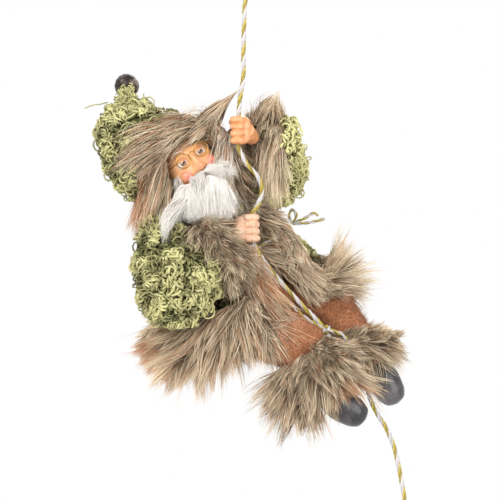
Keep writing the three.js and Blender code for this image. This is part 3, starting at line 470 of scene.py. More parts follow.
def strands(place, out, comb, length, lift, bend, clump, rng, rings=6, jitter=0.25, sag=0.0, group=18,
            wave=0.0, ragged=0.0):
    """Paths of combed hair that gathers into tufts, each tuft with a way and length of its own."""
    count = len(place)
    leaders = rng.choice(count, size=max(1, count // group), replace=False)
    tuft, _ = nearest_of(place[leaders], place)
    nearest = leaders[tuft]
    comb = unit(comb + rng.normal(scale=ragged * 0.6 + 1e-6, size=(len(leaders), 3))[tuft])
    length = length * (1 + ragged * rng.uniform(-0.8, 0.8, len(leaders))[tuft])
    start = unit(out * lift + comb + rng.normal(scale=jitter, size=(count, 3)))
    later = unit(comb + out * lift * 0.25 + rng.normal(scale=jitter * 0.8, size=(count, 3)))
    share = np.linspace(0, 1, rings)[None, :, None]
    way = start[:, None] * (share - bend * share ** 2 / 2) + later[:, None] * (bend * share ** 2 / 2)
    paths = place[:, None] + way * length[:, None, None]
    paths[:, :, 2] -= (sag * share[:, :, 0] ** 2) * length[:, None]
    if wave:
        aside = unit(np.cross(comb, out + 1e-4))
        phase = rng.uniform(0, 2 * np.pi, (count, 1))
        swing = np.sin(phase + share[:, :, 0] * rng.uniform(4, 7, (count, 1))) * share[:, :, 0] * wave
        paths += aside[:, None] * swing[:, :, None]
    pull = clump * share ** 1.3
    drift = place - place[nearest]
    target = paths[nearest] + drift[:, None] * (1 - 0.75 * share)
    stretch = (length / length[nearest])[:, None, None]
    target = place[nearest][:, None] + (target - place[nearest][:, None]) * (0.6 + 0.4 * stretch)
    return paths * (1 - pull) + target * pull, nearest


def curls(place, out, radius, rise, turns, rng, rings=11):
    """Paths of yarn that stands on the cloth in loops."""
    count = len(place)
    tangent = unit(np.cross(out, unit(rng.normal(size=(count, 3)))))
    across = np.cross(out, tangent)
    angle = np.linspace(0, 1, rings)[None, :] * turns[:, None] * 2 * np.pi
    lean = rng.uniform(0.5, 1.0, size=(count, 1))
    up = radius[:, None] * (1 - np.cos(angle)) * lean
    along = radius[:, None] * np.sin(angle)
    sideways = rise[:, None] * angle / (2 * np.pi) + radius[:, None] * (1 - np.cos(angle)) * (1 - lean)
    return (place[:, None] + out[:, None] * up[:, :, None] + tangent[:, None] * along[:, :, None]
            + across[:, None] * sideways[:, :, None])


def finish_piece(piece, material, body, replaces=()):
    """The material, the moving body and the solids that a piece stands for."""
    piece.data.materials.clear()
    piece.data.materials.append(material)
    if body:
        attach(piece, body)
    if replaces:
        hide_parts(*replaces)


def form_piece(name, nodes, voxel, smooth, swell, material, body):
    """A soft form with its material, which stands for the solids that it is made from."""
    form = soft_form(name, nodes, voxel, smooth, swell)
    finish_piece(form, material, body, nodes)
    return form


def made(name, maker):
    return bpy.data.materials.get(name) or maker(name)


def middle_of(node):
    low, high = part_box(node)
    return (np.array(low) + np.array(high)) / 2


# Routes: the cord's and its loop's in metres, as in the part. The ties' in millimetres, up to 3 mm further to
# the front than in the part, so that they clear the felt.
CORD_ROUTE = [(x * MM, 0.0, z * MM) for x, z in (
    (0, -32.5), (-1.4, -42), (-2.5, -75.5), (-2.8, -96.8), (-4.6, -107), (-6, -121), (-7.1, -132.5),
    (-5.4, -146), (0.8, -157.5), (8, -166), (10.6, -175), (8, -184.5), (3.4, -193), (2.1, -202),
    (4.4, -212), (9.2, -221), (15, -229.6), (28.4, -245.2), (41, -258.7), (52.5, -270.5), (61.2, -283),
    (70.3, -293.1), (79.2, -302.6), (84.6, -313.4), (88, -325), (93.2, -335), (99.6, -345.6),
    (104.8, -358.8), (108.8, -377), (112.2, -395), (114.6, -404))]
LOOP_ROUTE = [(x * MM, 0.0, z * MM) for x, z in (
    (0.8, -29), (2.6, -24), (6.4, -14), (6.9, -6), (4.2, 0.2), (0, 2), (-4.2, 0.2), (-6.9, -6), (-6.4, -14),
    (-2.6, -24), (-0.8, -29))]
TIE_ROUTE = [
    (2, 9, -243), (24, -1, -250), (31, -7.5, -257), (41, -7.5, -265.5), (49, -5.5, -270.5),
    (54, -2.5, -273.6)]
TAIL_ROUTE = [(56, -3, -274), (62, -3, -275), (68, -3.5, -278), (71, -3, -281)]
# Length of a twist of the threads in a knot or a tie
KNOT_PITCH = 0.011
# Spacing of the points along the cord, and along the ties
CORD_STEP, TIE_STEP = 0.0013, 0.001


def part_way(a, b, start, end, at):
    """The place at a time between a, which is passed at start, and b, which is passed at end."""
    return (end - at) / (end - start) * a + (at - start) / (end - start) * b


def smooth_route(points, spacing, closed=False):
    """A smooth line through points, with its own points evenly spaced."""
    points = np.asarray(points, dtype=float)
    if closed:
        ring = np.concatenate([points[-1:], points, points[:2]])
    else:
        ring = np.concatenate([2 * points[:1] - points[1:2], points, 2 * points[-1:] - points[-2:-1]])
    dense = []
    for four in zip(ring[:-3], ring[1:-2], ring[2:-1], ring[3:]):
        spans = [max(np.linalg.norm(b - a), 1e-9) ** 0.5 for a, b in zip(four[:-1], four[1:])]
        t = np.cumsum([0] + spans)
        at = np.linspace(t[1], t[2], 12, endpoint=False)[:, None]
        a1, a2, a3 = [part_way(four[i], four[i + 1], t[i], t[i + 1], at) for i in range(3)]
        b1, b2 = part_way(a1, a2, t[0], t[2], at), part_way(a2, a3, t[1], t[3], at)
        dense.append(part_way(b1, b2, t[1], t[2], at))
    dense = np.concatenate([*dense, ring[-2:-1]])
    steps = np.linalg.norm(np.diff(dense, axis=0), axis=1)
    gone = np.concatenate([[0], np.cumsum(steps)])
    count = max(4, int(round(gone[-1] / spacing)) + 1)
    even = np.linspace(0, gone[-1], count)
    return np.stack([np.interp(even, gone, dense[:, axis]) for axis in range(3)], axis=1)


def plies(path, radius, pitch, shades):
    """Twisted threads along a path: each one's line, thickness and shade."""
    path = np.asarray(path, dtype=float)
    along = unit(np.gradient(path, axis=0))
    aside = np.empty_like(path)
    aside[0] = unit(np.cross(along[0], vec(0.2, 0.9, 0.3)))
    for index in range(1, len(path)):
        moved = aside[index - 1] - along[index] * (aside[index - 1] @ along[index])
        aside[index] = unit(moved)
    across = np.cross(along, aside)
    gone = np.concatenate([[0], np.cumsum(np.linalg.norm(np.diff(path, axis=0), axis=1))])
    count = len(shades)
    # Two threads are thicker than four in a cord of the same size
    thread = radius * (0.60 if count == 2 else 0.46)
    lines = []
    for index in range(count):
        angle = 2 * np.pi * (gone / pitch + index / count)
        turned = aside * np.cos(angle)[:, None] + across * np.sin(angle)[:, None]
        lines.append(path + (radius - thread) * turned)
    return np.stack(lines), np.full(count, thread), np.asarray(shades)


def knot_route(centre, axis, size):
    """An overhand knot, drawn tight, about a point."""
    axis = unit(np.asarray(axis, dtype=float))
    aside = unit(np.cross(axis, vec(0.3, 1, 0.1)))
    across = np.cross(axis, aside)
    t = np.linspace(0, 2 * np.pi, 60)[:, None]
    round_, rise = (2 + np.cos(3 * t)) * size, 1.3 * np.sin(3 * t) * size
    return np.asarray(centre) + aside * round_ * np.cos(2 * t) + across * round_ * np.sin(2 * t) + axis * rise


def twisted(name, path, radius, pitch, shades, replaces, body="trunk"):
    """A twisted cord along a path, in the place of one of the frame's solids."""
    lines, thickness, chosen = plies(path, radius, pitch, shades)
    piece = tubes(name, lines, thickness, chosen, sides=7)
    finish_piece(piece, made("thread", thread_finish), body, [replaces])
    return piece


def waist_ring():
    """Points round the waist, each the middle of a slice of the waist cord's solid."""
    points, _ = arrays(NODES["waist_cord"])
    centre = points.mean(axis=0)
    _, _, axes = np.linalg.svd(points - centre)
    angle = np.arctan2((points - centre) @ axes[1], (points - centre) @ axes[0])
    bins = np.linspace(-np.pi, np.pi, 25)
    slices = [(angle >= a) & (angle < b) for a, b in zip(bins[:-1], bins[1:])]
    return [points[held].mean(axis=0) for held in slices if held.any()]


# Combing: which way the hair lies, and how long it is, at each place of each trim


def toward(place, x, y, z):
    return unit(np.broadcast_to(vec(x, y, z), place.shape).copy())


def from_point(place, x, y, z):
    return unit(place - vec(x, y, z) * MM)


def blend_ways(a, b, share):
    share = np.clip(share, 0, 1)[:, None]
    return unit(a * (1 - share) + b * share)


# How far the hair of a trim reaches, seen from the front: corners of its outline, X and Z in millimetres
REACH = {
    "right_hem_trim": (
        (-1, -253), (6, -258), (20, -267), (38, -286), (37, -306), (25, -297), (11, -298), (-1, -301),
        (-11, -307), (-23, -313), (-30, -317), (-50, -320), (-64, -313), (-72, -304), (-79, -297),
        (-69, -285), (-64, -264), (-51, -273), (-30, -274), (-25, -255)),
    "left_hem_trim": (
        (28, -208), (50, -218), (70, -203), (75, -203), (82, -218), (92, -220), (94, -239), (98, -256),
        (97, -264), (80, -255), (67, -255), (55, -248), (46, -248), (36, -246), (22, -232), (15, -219)),
    "right_boot_cuff": (
        (46, -286), (70, -290), (84, -308), (98, -319), (106, -329), (87, -324), (73, -323), (65, -333),
        (70, -343), (61, -348), (41, -350), (23, -354), (13, -343), (10, -330), (-1, -328), (10, -321),
        (-5, -310), (11, -313), (16, -304), (27, -296)),
    "left_boot_cuff": (
        (70, -288), (80, -285), (99, -275), (109, -282), (116, -285), (114, -293), (119, -297), (114, -304),
        (114, -314), (107, -310), (98, -306), (91, -310), (86, -318), (80, -307), (72, -298)),
    "left_sleeve_cuff": (
        (-5, -124), (-1, -112), (11, -114), (24, -104), (23, -114), (31, -132), (33, -161), (28, -186),
        (15, -191), (11, -182), (6, -171), (2, -154), (1, -136))}
# The longest hair that is held against an outline, in millimetres
LONGEST = 44
# Outlines that hair is kept out of: the tie's knot, the tie strand, and beside the hood's trim
KNOT_BARE = ((47, -266), (62, -266), (73, -280), (68, -284), (60, -282), (50, -280))
TIE_BARE = ((20, -246), (25, -246), (47, -263), (47, -269), (40, -269), (20, -253))
HOOD_BARE = ((-100, -160), (-82, -157), (-75, -160), (-71, -168), (-77, -178), (-100, -178))
# From these tones up, hair is pale and russet
PALE, RUSSET = 0.34, 0.7
# Shades in the fur's finish: plain hair up to the first, pale hair at the second, russet from the third
PLAIN_SHADE, PALE_SHADE, RUSSET_SHADE = 0.62, 0.67, 0.72
# Where hair is drawn together: the base and the tip of each point
TUFTS = {
    "hood_trim": (vec(-32, 2, -128) * MM, vec(-8, -4, -106) * MM),
    "left_sleeve_cuff": (vec(14, 8, -122) * MM, vec(23, -2, -103) * MM)}


def inside(x, z, corners):
    """Which points lie inside an outline."""
    held = np.zeros(np.shape(x), dtype=bool)
    for (x0, z0), (x1, z1) in zip(corners, corners[1:] + corners[:1]):
        if z0 != z1:
            held ^= ((z0 > z) != (z1 > z)) & (x < (x1 - x0) * (z - z0) / (z1 - z0) + x0)
    return held


def reach_of(name, place, way, usual):
    """How far each hair runs along its way before it leaves its trim's outline."""
    if name not in REACH:
        return usual
    steps = np.arange(6, LONGEST, 1.0)
    x = place[:, None, 0] / MM + way[:, None, 0] * steps
    z = place[:, None, 2] / MM + way[:, None, 2] * steps
    held = inside(x, z, REACH[name])
    run = np.where(held.all(axis=1), steps[-1], steps[np.argmin(held, axis=1)]) * MM
    started = inside(place[:, 0] / MM, place[:, 2] / MM, REACH[name])
    most = (1.7 - 0.9 * np.abs(way[:, 1])) * usual
    return np.where(started, np.clip(run, 0.3 * usual, most), usual * 0.7)


def short_of(place, way, length, corners):
    """Hair cut where it would enter an outline that stays bare."""
    steps = np.arange(4, LONGEST, 1.0)
    x = place[:, None, 0] / MM + way[:, None, 0] * steps
    z = place[:, None, 2] / MM + way[:, None, 2] * steps
    held = inside(x, z, corners)
    run = np.where(held.any(axis=1), steps[np.argmax(held, axis=1)] * MM, length)
    return np.clip(run, 0.3 * length, length)


def pinch(paths, base, tip):
    """Strands drawn together towards a tip, the more the nearer they come to it."""
    axis = tip - base
    along = ((paths - base) @ axis) / (axis @ axis)
    line = base + along[..., None] * axis
    return line + (paths - line) * (np.clip(1.1 - np.clip(along, 0.1, 1.05), 0.06, 1) ** 1.4)[..., None]


def hood_trim_comb(place, out):
    x, _, z = place.T / MM
    comb = blend_ways(toward(place, -0.92, -0.2, -0.3), toward(place, -0.34, -0.2, -0.93), (-152 - z) / 6)
    length = np.where(z > -160, np.interp(x, (-77, -60, -35, -8), (29, 38, 40, 26)), 25) * MM
    tone = np.interp(x, (-75, -50), (0.02, 0.08))
    beside = (x > -26) & (z < -134)
    sideways, still = np.interp(z[beside], (-162, -138), (0.15, -0.35)), np.ones(beside.sum())
    comb[beside] = unit(np.stack([sideways, -0.3 * still, -0.9 * still], axis=1))
    tone[beside & (x < -5)] = PALE
    tone[(x < -64) & (z < -164)] = RUSSET
    across = (x > -11) & (z < -137) & (out[:, 1] < 0.4)
    comb[across], length[across] = unit(vec(0.72, -0.42, -0.62)), 17 * MM
    # Painted shade: the hair crossing in front of the cord gets the darkest tones, for the shaded gap beside
    # the cuff
    tone[across] = np.where(x[across] > -8, -0.6, -0.25)
    inner = (x > -27) & (z > -158) & (z < -136) & (out[:, 0] < -0.1)
    comb[inner], length[inner], tone[inner] = unit(vec(-0.75, -0.25, -0.6)), 13 * MM, -0.05
    top = (x > -36) & (z > -136)
    tuft = top & (x < -21)
    tip = TUFTS["hood_trim"][1] - place[tuft]
    comb[tuft] = unit(tip)
    length[tuft] = np.linalg.norm(tip, axis=1)
    bare = top & (x >= -21)
    comb[bare], length[bare], tone[bare] = unit(vec(-0.4, -0.5, -0.75)), 7 * MM, PALE
    return comb, short_of(place, comb, length, HOOD_BARE), tone


def right_hem_comb(place, out):
    x, y, z = place.T / MM
    angle = np.interp(x, (-62, -40, -15, -2, 5, 11, 18), (216, 236, 258, 280, 300, 308, 312))
    angle = np.radians(angle - np.clip((z + 266) / 12, 0, 1) * np.interp(x, (-30, -12, 4), (20, 45, 0)))
    comb = np.stack([np.cos(angle), np.full(len(x), -0.2), np.sin(angle)], axis=1)
    comb = blend_ways(unit(comb), unit(toward(place, -0.5, 0.25, -0.8) + out * 0.3), (y - 28) / 14)
    tone = np.where((x < -52) & (z < -280), RUSSET, np.interp(x, (-60, -44, -20, 12), (0.3, 0.2, 0.06, 0.1)))
    aside = (z > -262) & (x > -30) & (x < 8) & (np.modf(x * 7.3 + y * 3.1)[0] > 0.86)
    comb[aside], tone[aside] = unit(vec(-0.95, -0.35, -0.2)), PALE
    sparse = (x > 0) & (np.modf(np.abs(x * 5.1 + y * 7.7))[0] > 0.4)
    return comb, np.interp(x, (-2, 6), (25, 32)) * np.where(sparse, 0.35, 1) * MM, tone


def left_hem_comb(place, out):
    x, y, _ = place.T / MM
    gather = unit(vec(66, 2, -240) * MM - place + MM * vec(6, -3, 0))
    burst = unit((place - vec(58, 24, -243) * MM + MM * vec(2, -2, 0)) * vec(1, 0.55, 1))
    comb = blend_ways(gather, burst, (x - 54) / 10)
    comb = blend_ways(comb, unit(toward(place, 0.35, 0.3, -0.7) + out * 0.4), (y - 62) / 14)
    length = np.interp(x, (-40, 40, 72), (24, 24, 26)) * np.interp(y, (66, 92), (1, 0.9))
    return comb, length * MM, np.full(len(place), 0.1)


def right_front_comb(place, out):
    x, z = place[:, 0] / MM, place[:, 2] / MM
    comb = blend_ways(toward(place, 0.2, -0.25, -0.95), toward(place, 0.55, -0.32, -0.78), (-228 - z) / 14)
    beside = np.interp(z, (-245, -230, -212), (28, 15, 4.4)) - x
    tone = np.where((beside < 8) & (z > -236), PALE, np.interp(z, (-245, -200), (-0.05, 0.05)))
    tone = np.where((z < -222) & (beside >= 6) & (beside < 15), RUSSET, tone)
    return comb, short_of(place, comb, np.interp(z, (-252, -236, -185), (42, 27, 20)) * MM, TIE_BARE), tone


def left_front_comb(place, out):
    x, _, z = place.T / MM
    comb = blend_ways(toward(place, 0.72, -0.15, -0.68), toward(place, 0.9, -0.1, -0.25), (z + 205) / 12)
    edge = np.clip((x - 22) / 6, 0, 1) * np.clip((z + 228) / 8, 0, 1)
    comb = blend_ways(comb, toward(place, 0.2, -0.1, -0.95), edge)
    length = np.interp(z, (-262, -240, -215, -205, -180), (12, 19, 25, 16, 14)) * (1 - 0.45 * edge)
    return comb, length * MM, np.interp(z, (-250, -205), (0.14, 0.0))


def left_cuff_comb(place, out):
    z = place[:, 2] / MM
    comb = blend_ways(toward(place, -0.1, -0.15, -0.97), toward(place, -0.2, -0.1, 0.95), (z + 127) / 5)
    tuft = (z > -130) & (place[:, 0] > 0.002)
    tip = TUFTS["left_sleeve_cuff"][1] - place[tuft]
    comb[tuft] = unit(tip)
    length, tone = np.full(len(place), 19.0) * MM, np.interp(z, (-165, -120), (0.2, 0.32))
    length[tuft] = np.linalg.norm(tip, axis=1)
    shaded = (place[:, 0] < 0.009) & (z < -130) & (z > -178)
    length[shaded], tone[shaded] = 13 * MM, -0.6
    return comb, length, tone


def right_cuff_comb(place, out):
    comb = unit(toward(place, 0.25, -0.35, -0.5) + out * 0.5)
    return comb, np.full(len(place), 18.0) * MM, np.zeros(len(place))


def right_boot_comb(place, out):
    x, _, z = place.T / MM
    away = from_point(place, 52, -18, -294)
    comb = unit(away + toward(place, 0.25, -0.15, -0.55) * 0.8)
    tone = np.where((x > 62) | ((x > 48) & (z < -324)), RUSSET * (z < -304), -0.05)
    return comb, short_of(place, comb, np.interp(x, (58, 72), (18, 24)) * MM, KNOT_BARE), tone


def left_boot_comb(place, out):
    away = from_point(place, 76, 26, -283)
    low = np.clip((-282 - place[:, 2] / MM) / 10, 0, 1)
    comb = unit(away + toward(place, 0.85, -0.1, 0.1) * (0.8 - 0.5 * low)[:, None]
                + low[:, None] * vec(0.1, -0.35, -0.9))
    return comb, short_of(place, comb, (15 + 9 * low) * MM, KNOT_BARE), np.full(len(place), 0.06)


# A trim's body, number of hairs and comb, then how far its hair stands off, bends, gathers in tufts, is
# russet, strays, sags, and differs from tuft to tuft
Trim = namedtuple("Trim", "body count comb lift bend clump warm spread sag ragged")
FUR_TRIMS = {
    "hood_trim": Trim("head_and_hood", 9500, hood_trim_comb, 0.35, 0.5, 0.6, 0.16, 0.14, 0.25, 0.2),
    "right_hem_trim": Trim("trunk", 12000, right_hem_comb, 0.35, 0.6, 0.78, 0.16, 0.14, 0.05, 0.45),
    "left_hem_trim": Trim("trunk", 11000, left_hem_comb, 0.3, 0.6, 0.74, 0.05, 0.16, 0.05, 0.36),
    "right_front_trim": Trim("trunk", 5500, right_front_comb, 0.35, 0.6, 0.6, 0.4, 0.2, 0.05, 0.25),
    "left_front_trim": Trim("trunk", 5500, left_front_comb, 0.4, 0.6, 0.6, 0.12, 0.2, 0.1, 0.25),
    "left_sleeve_cuff": Trim("left_arm", 7500, left_cuff_comb, 0.25, 0.6, 0.55, 0.06, 0.16, 0.05, 0.2),
    "right_sleeve_cuff": Trim("right_arm", 7000, right_cuff_comb, 0.6, 0.6, 0.5, 0.08, 0.4, 0.05, 0.35),
    "right_boot_cuff": Trim("right_lower_leg", 9000, right_boot_comb, 0.4, 0.6, 0.72, 0.1, 0.2, 0.05, 0.4),
    "left_boot_cuff": Trim("left_lower_leg", 10000, left_boot_comb, 0.4, 0.6, 0.72, 0.05, 0.2, 0.05, 0.35)}


# Settings


def colour(name, text, value):
    return bpy.props.FloatVectorProperty(
        name=name, description=text, default=value, size=3, min=0, max=1, subtype="COLOR")


def length_of(name, text, value):
    return bpy.props.FloatProperty(name=name, description=text, default=value, min=0, unit="LENGTH")


def share_of(name, text, value):
    return bpy.props.FloatProperty(name=name, description=text, default=value, min=0, max=2, subtype="FACTOR")


def paint(*shown):
    """A colour as it looks, from 0 to 255, as the light that it reflects."""
    shares = [value / 255 for value in shown]
    return tuple(share / 12.92 if share <= 0.04045 else ((share + 0.055) / 1.055) ** 2.4 for share in shares)


def group_of(kind, name, text):
    return bpy.props.PointerProperty(type=kind, name=name, description=text)


class DollCordSettings(bpy.types.PropertyGroup):
    thickness: length_of("Thickness", "Across the climbing cord", 0.0035)
    pitch: length_of("Pitch", "Length of one twist of its threads", 0.017)
    white: colour("White thread", "Colour of the cord's white threads", paint(236, 231, 230))
    gold: colour("Gold thread", "Colour of the cord's gold threads", paint(212, 190, 96))


class DollFurSettings(bpy.types.PropertyGroup):
    length: share_of("Length", "Length of the trims' hair, against the usual one", 1.0)
    density: share_of("Density", "Number of hairs, against the usual one", 1.0)
    width: length_of("Hair width", "Across a lock of hair at its root", 0.00048)
    root: colour("Root", "Colour of the hair near the cloth", paint(142, 122, 98))
    tip: colour("Tip", "Colour of the hair's ends", paint(238, 220, 190))
    warm: colour("Warm hair", "Colour of the russet hairs", paint(196, 124, 76))


class DollYarnSettings(bpy.types.PropertyGroup):
    density: share_of("Density", "Number of curls, against the usual one", 1.0)
    curl: length_of("Curl", "Radius of a curl of yarn", 0.0022)
    thickness: length_of("Yarn", "Across the yarn", 0.0018)
    light: colour("Light yarn", "Colour of the palest yarn", paint(209, 204, 147))
    dark: colour("Dark yarn", "Colour of the yarn deep in the cloth", paint(74, 73, 36))


class DollBodySettings(bpy.types.PropertyGroup):
    skin: colour("Skin", "Colour of the painted face", paint(240, 180, 128))
    hand: colour("Hands", "Colour of the painted hands", paint(238, 160, 100))
    beard: colour("Beard", "Colour of the beard", paint(243, 239, 233))
    felt: colour("Felt", "Colour of the trousers", paint(164, 108, 75))
    boot: colour("Boots", "Colour of the boots", paint(45, 43, 44))
    brass: colour("Spectacles", "Colour of their wire", paint(182, 138, 62))
    bell: colour("Bell", "Colour of the bell", paint(60, 52, 48))


class DollStageSettings(bpy.types.PropertyGroup):
    floor: colour("Floor", "Colour of the floor", (0.9, 0.9, 0.9))
    light: share_of("Light", "Brightness of the lamps, against the usual one", 1.0)


class DollSettings(bpy.types.PropertyGroup):
    cord: group_of(DollCordSettings, "Cord", "The twisted cord")
    fur: group_of(DollFurSettings, "Fur", "The long-haired trims")
    yarn: group_of(DollYarnSettings, "Yarn", "The curly cloth")
    body: group_of(DollBodySettings, "Body", "Skin, beard, felt and metal")
    stage: group_of(DollStageSettings, "Stage", "Floor and lamps")


def settings():
    return bpy.context.scene.doll


# Finishes, made once and shared


def deeper(value, share):
    return tuple(c * share for c in value)


def between(a, b, share):
    return tuple(x * (1 - share) + y * share for x, y in zip(a, b))


def hair_finish(name, roots, tips, roughness=0.62):
    """Hair whose root and tip each have a colour that changes from strand to strand."""
    finish = Finish(name)
    shade, length = finish.strand()
    growth = finish.ramp(length, [(0.0, (0, 0, 0)), (0.3, (0.25,) * 3), (0.75, (0.8,) * 3), (1.0, (1, 1, 1))])
    tone = finish.mix(growth, finish.ramp(shade, roots), finish.ramp(shade, tips))
    return finish.surface({"Base Color": tone, "Roughness": roughness, "Specular IOR Level": 0.25})


def fur_finish(name):
    look = settings().fur
    root, tip, warm = look.root, look.tip, look.warm
    dark, pale = deeper(root, 0.45), between(tip, (1, 1, 1), 0.45)
    roots = [
        (0.0, dark), (0.35, root), (0.63, between(root, tip, 0.45)), (0.65, between(root, pale, 0.6)),
        (0.69, between(root, pale, 0.6)), (0.71, between(root, warm, 0.15)), (1.0, between(root, warm, 0.5))]
    # The darkest tips, at the lowest shades, are a few dark hairs and also the painted shade of the hair in
    # shaded gaps
    tips = [
        (0.0, deeper(root, 0.5)), (0.08, between(root, tip, 0.2)), (0.3, between(root, tip, 0.75)),
        (0.63, deeper(tip, 1.1)), (0.65, pale), (0.69, pale), (0.71, between(tip, warm, 0.45)),
        (1.0, deeper(warm, 1.1))]
    return hair_finish(name, roots, tips)


def pelt_finish(name):
    look = settings().fur
    # The pelt is dark brown: painted shade deep among the hair
    return nap_finish(name, deeper(look.root, 0.45), between(look.root, look.tip, 0.25), 90.0)


def yarn_finish(name):
    light, dark = settings().yarn.light, settings().yarn.dark
    return hair_finish(
        name, [(0.0, dark), (0.5, between(dark, light, 0.55)), (1.0, light)],
        [(0.0, between(dark, light, 0.3)), (0.5, between(dark, light, 0.8)), (1.0, deeper(light, 1.12))], 0.8)


def yarn_ground_finish(name):
    # The ground is mostly darker than the yarn: painted shade deep between the curls
    light, dark = settings().yarn.light, settings().yarn.dark
    return nap_finish(name, deeper(dark, 0.5), between(dark, light, 0.35), 160.0)


def thread_finish(name):
    """Cord: its upper shades are gold, which shines, and the lower ones white."""
    look = settings().cord
    finish = Finish(name)
    shade, _ = finish.strand()
    gold = shade.above(0.5)
    tone = finish.ramp(shade, [
        (0.0, deeper(look.white, 0.62)), (0.45, look.white),
        (0.55, deeper(look.gold, 0.42)), (1.0, look.gold)])
    ridges = finish.node("ShaderNodeTexWave", {"wave_type": "BANDS", "bands_direction": "DIAGONAL"}, {
        "Scale": 900.0, "Distortion": 1.5}, output=1)
    return finish.surface({
        "Base Color": tone, "Roughness": 0.75 - gold * 0.4, "Metallic": gold * 0.45,
        "Normal": finish.bump(ridges, 0.5, 0.0002)})


def beard_finish(name):
    pale = settings().body.beard
    return hair_finish(
        name, [(0.0, deeper(pale, 0.9)), (0.5, deeper(pale, 0.97)), (1.0, pale)],
        [(0.0, deeper(pale, 0.93)), (0.5, pale), (1.0, deeper(pale, 1.04))], 0.7)


def beard_ground_finish(name):
    pale = settings().body.beard
    return nap_finish(name, deeper(pale, 0.8), pale, 200.0)


def felt_finish(name):
    rust = settings().body.felt
    return nap_finish(name, deeper(rust, 0.32), deeper(rust, 1.75), 90.0, 0.98, 0.0012, 0.7)


def fuzz_finish(name):
    rust = settings().body.felt
    tips = [
        (0.0, deeper(rust, 0.8)), (0.6, between(rust, (0.8, 0.6, 0.4), 0.4)),
        (1.0, between(rust, (0.9, 0.75, 0.6), 0.75))]
    return hair_finish(name, [(0.0, deeper(rust, 0.4)), (1.0, deeper(rust, 1.2))], tips)


def lining_finish(name):
    rust = settings().body.felt
    return nap_finish(name, deeper(rust, 0.42), deeper(rust, 0.8), 200.0)


def stuffing_finish(name):
    # The hood's filling is dark brown-grey: painted shade inside the hood
    return nap_finish(name, (0.12, 0.1, 0.075), (0.3, 0.25, 0.2), 140.0)


def wear_and_highlight_finish(name, cloudiness, stops, gloss, sockets, bump=None, grain=0.0):
    """Metal or paint whose tone and gloss change from spot to spot; on the boots and the bell its pale spots
    are painted highlights.
    """
    finish = Finish(name)
    cloud = finish.noise(*cloudiness)
    tone = cloud * (1 - grain) + finish.noise(900.0, 2.0, 0.5) * grain if grain else cloud
    rough = finish.ramp(cloud, [(place, (value,) * 3) for place, value in zip((0.3, 0.8), gloss)])
    sockets = {"Base Color": finish.ramp(tone, stops), "Roughness": rough, **sockets}
    if bump:
        sockets["Normal"] = finish.bump(cloud, *bump)
    return finish.surface(sockets)


def boot_finish(name):
    dark = settings().body.boot
    # Painted highlights: the pale cloudy patches stand for reflections on the dark gloss
    stops = [(0.4, deeper(dark, 0.35)), (0.5, dark), (0.6, deeper(dark, 2.7)), (0.7, deeper(dark, 4.8))]
    sockets = {"Specular IOR Level": 0.4, "Coat Weight": 0.3}
    return wear_and_highlight_finish(name, (75.0, 3.0, 0.55), stops, (0.3, 0.55), sockets, (0.35, 0.0006), grain=0.15)


def bell_finish(name):
    dark = settings().body.bell
    # Painted highlights: the pale streaks stand for reflections on the dark metal
    stops = [(0.35, deeper(dark, 0.35)), (0.54, dark), (0.66, deeper(dark, 5.0))]
    return wear_and_highlight_finish(name, (170.0, 4.0, 0.65), stops, (0.3, 0.6), {"Metallic": 0.7}, (0.3, 0.0003))


def brass_finish(name):
    brass = settings().body.brass
    stops = [(0.3, deeper(brass, 0.6)), (0.7, brass)]
    return wear_and_highlight_finish(name, (500.0, 3.0, 0.6), stops, (0.2, 0.4), {"Metallic": 0.9})


def wire_finish(name):
    stops = [(0.3, (0.22, 0.21, 0.2)), (0.7, (0.5, 0.5, 0.5))]
    return wear_and_highlight_finish(name, (600.0, 3.0, 0.6), stops, (0.3, 0.5), {"Metallic": 0.95})


def spot(finish, place, centre, inner, outer):
    """One near a point, falling softly to nothing."""
    far = finish.distance(place, centre)
    return finish.node("ShaderNodeMapRange", {"interpolation_type": "SMOOTHSTEP"}, {
        0: far, 1: inner * MM, 2: outer * MM, 3: 1.0, 4: 0.0})


def skin_surface(finish, tone, cloud, dullness, pores):
    return finish.surface({
        "Base Color": tone, "Roughness": dullness + cloud * 0.1, "Coat Weight": 0.15,
        "Normal": finish.bump(finish.noise(pores, 2.0, 0.5), 0.12, 0.0001)})


def face_finish(name):
    """Painted skin: pink cheeks and nose, and a darker tone in the folds, which is painted shade."""
    skin = settings().body.skin
    finish = Finish(name)
    place = finish.place()
    cloud = finish.noise(220.0, 3.0, 0.5)
    tone = finish.ramp(cloud, [(0.3, deeper(skin, 0.86)), (0.7, skin)])
    # lid is painted shade: a darker brown round each eye, in its socket
    brow, cheek, nose, lid, lip = (
        between(skin, (0.75, 0.22, 0.08), 0.45), (0.86, 0.16, 0.15), (0.85, 0.24, 0.14), (0.42, 0.18, 0.08),
        (0.66, 0.16, 0.12))
    for side, out, up, inner, outer, wash, share in (
            (0, 17, 9, 2, 14, brow, 0.25), (-10.2, 18, -4.5, 0.5, 6.6, cheek, 0.9),
            (10.2, 18, -4.5, 0.5, 6.6, cheek, 0.9), (0, 26, -3.5, 0.5, 5.0, nose, 0.55),
            (-7.6, 18.5, 5, 3.6, 6.2, lid, 0.35), (7.6, 18.5, 5, 3.6, 6.2, lid, 0.35),
            (0, 21, -11.5, 0.5, 3.6, lip, 0.7)):
        mask = spot(finish, place, on_head(side, out, up), inner, outer)
        tone = finish.mix(mask * share, tone, (*wash, 1.0))
    return skin_surface(finish, tone, cloud, 0.42, 1500.0)


def hand_finish(name):
    # Painted light: the right hand is made paler than the left, as if it caught more light, though both are
    # one paint
    skin = between(settings().body.hand, (0.95, 0.8, 0.65), 0.4 if name.startswith("right") else 0.0)
    finish = Finish(name)
    cloud = finish.noise(260.0, 3.0, 0.5)
    tone = finish.ramp(cloud, [(0.3, deeper(skin, 0.72)), (0.7, between(skin, (1, 0.9, 0.8), 0.12))])
    return skin_surface(finish, tone, cloud, 0.4, 1400.0)


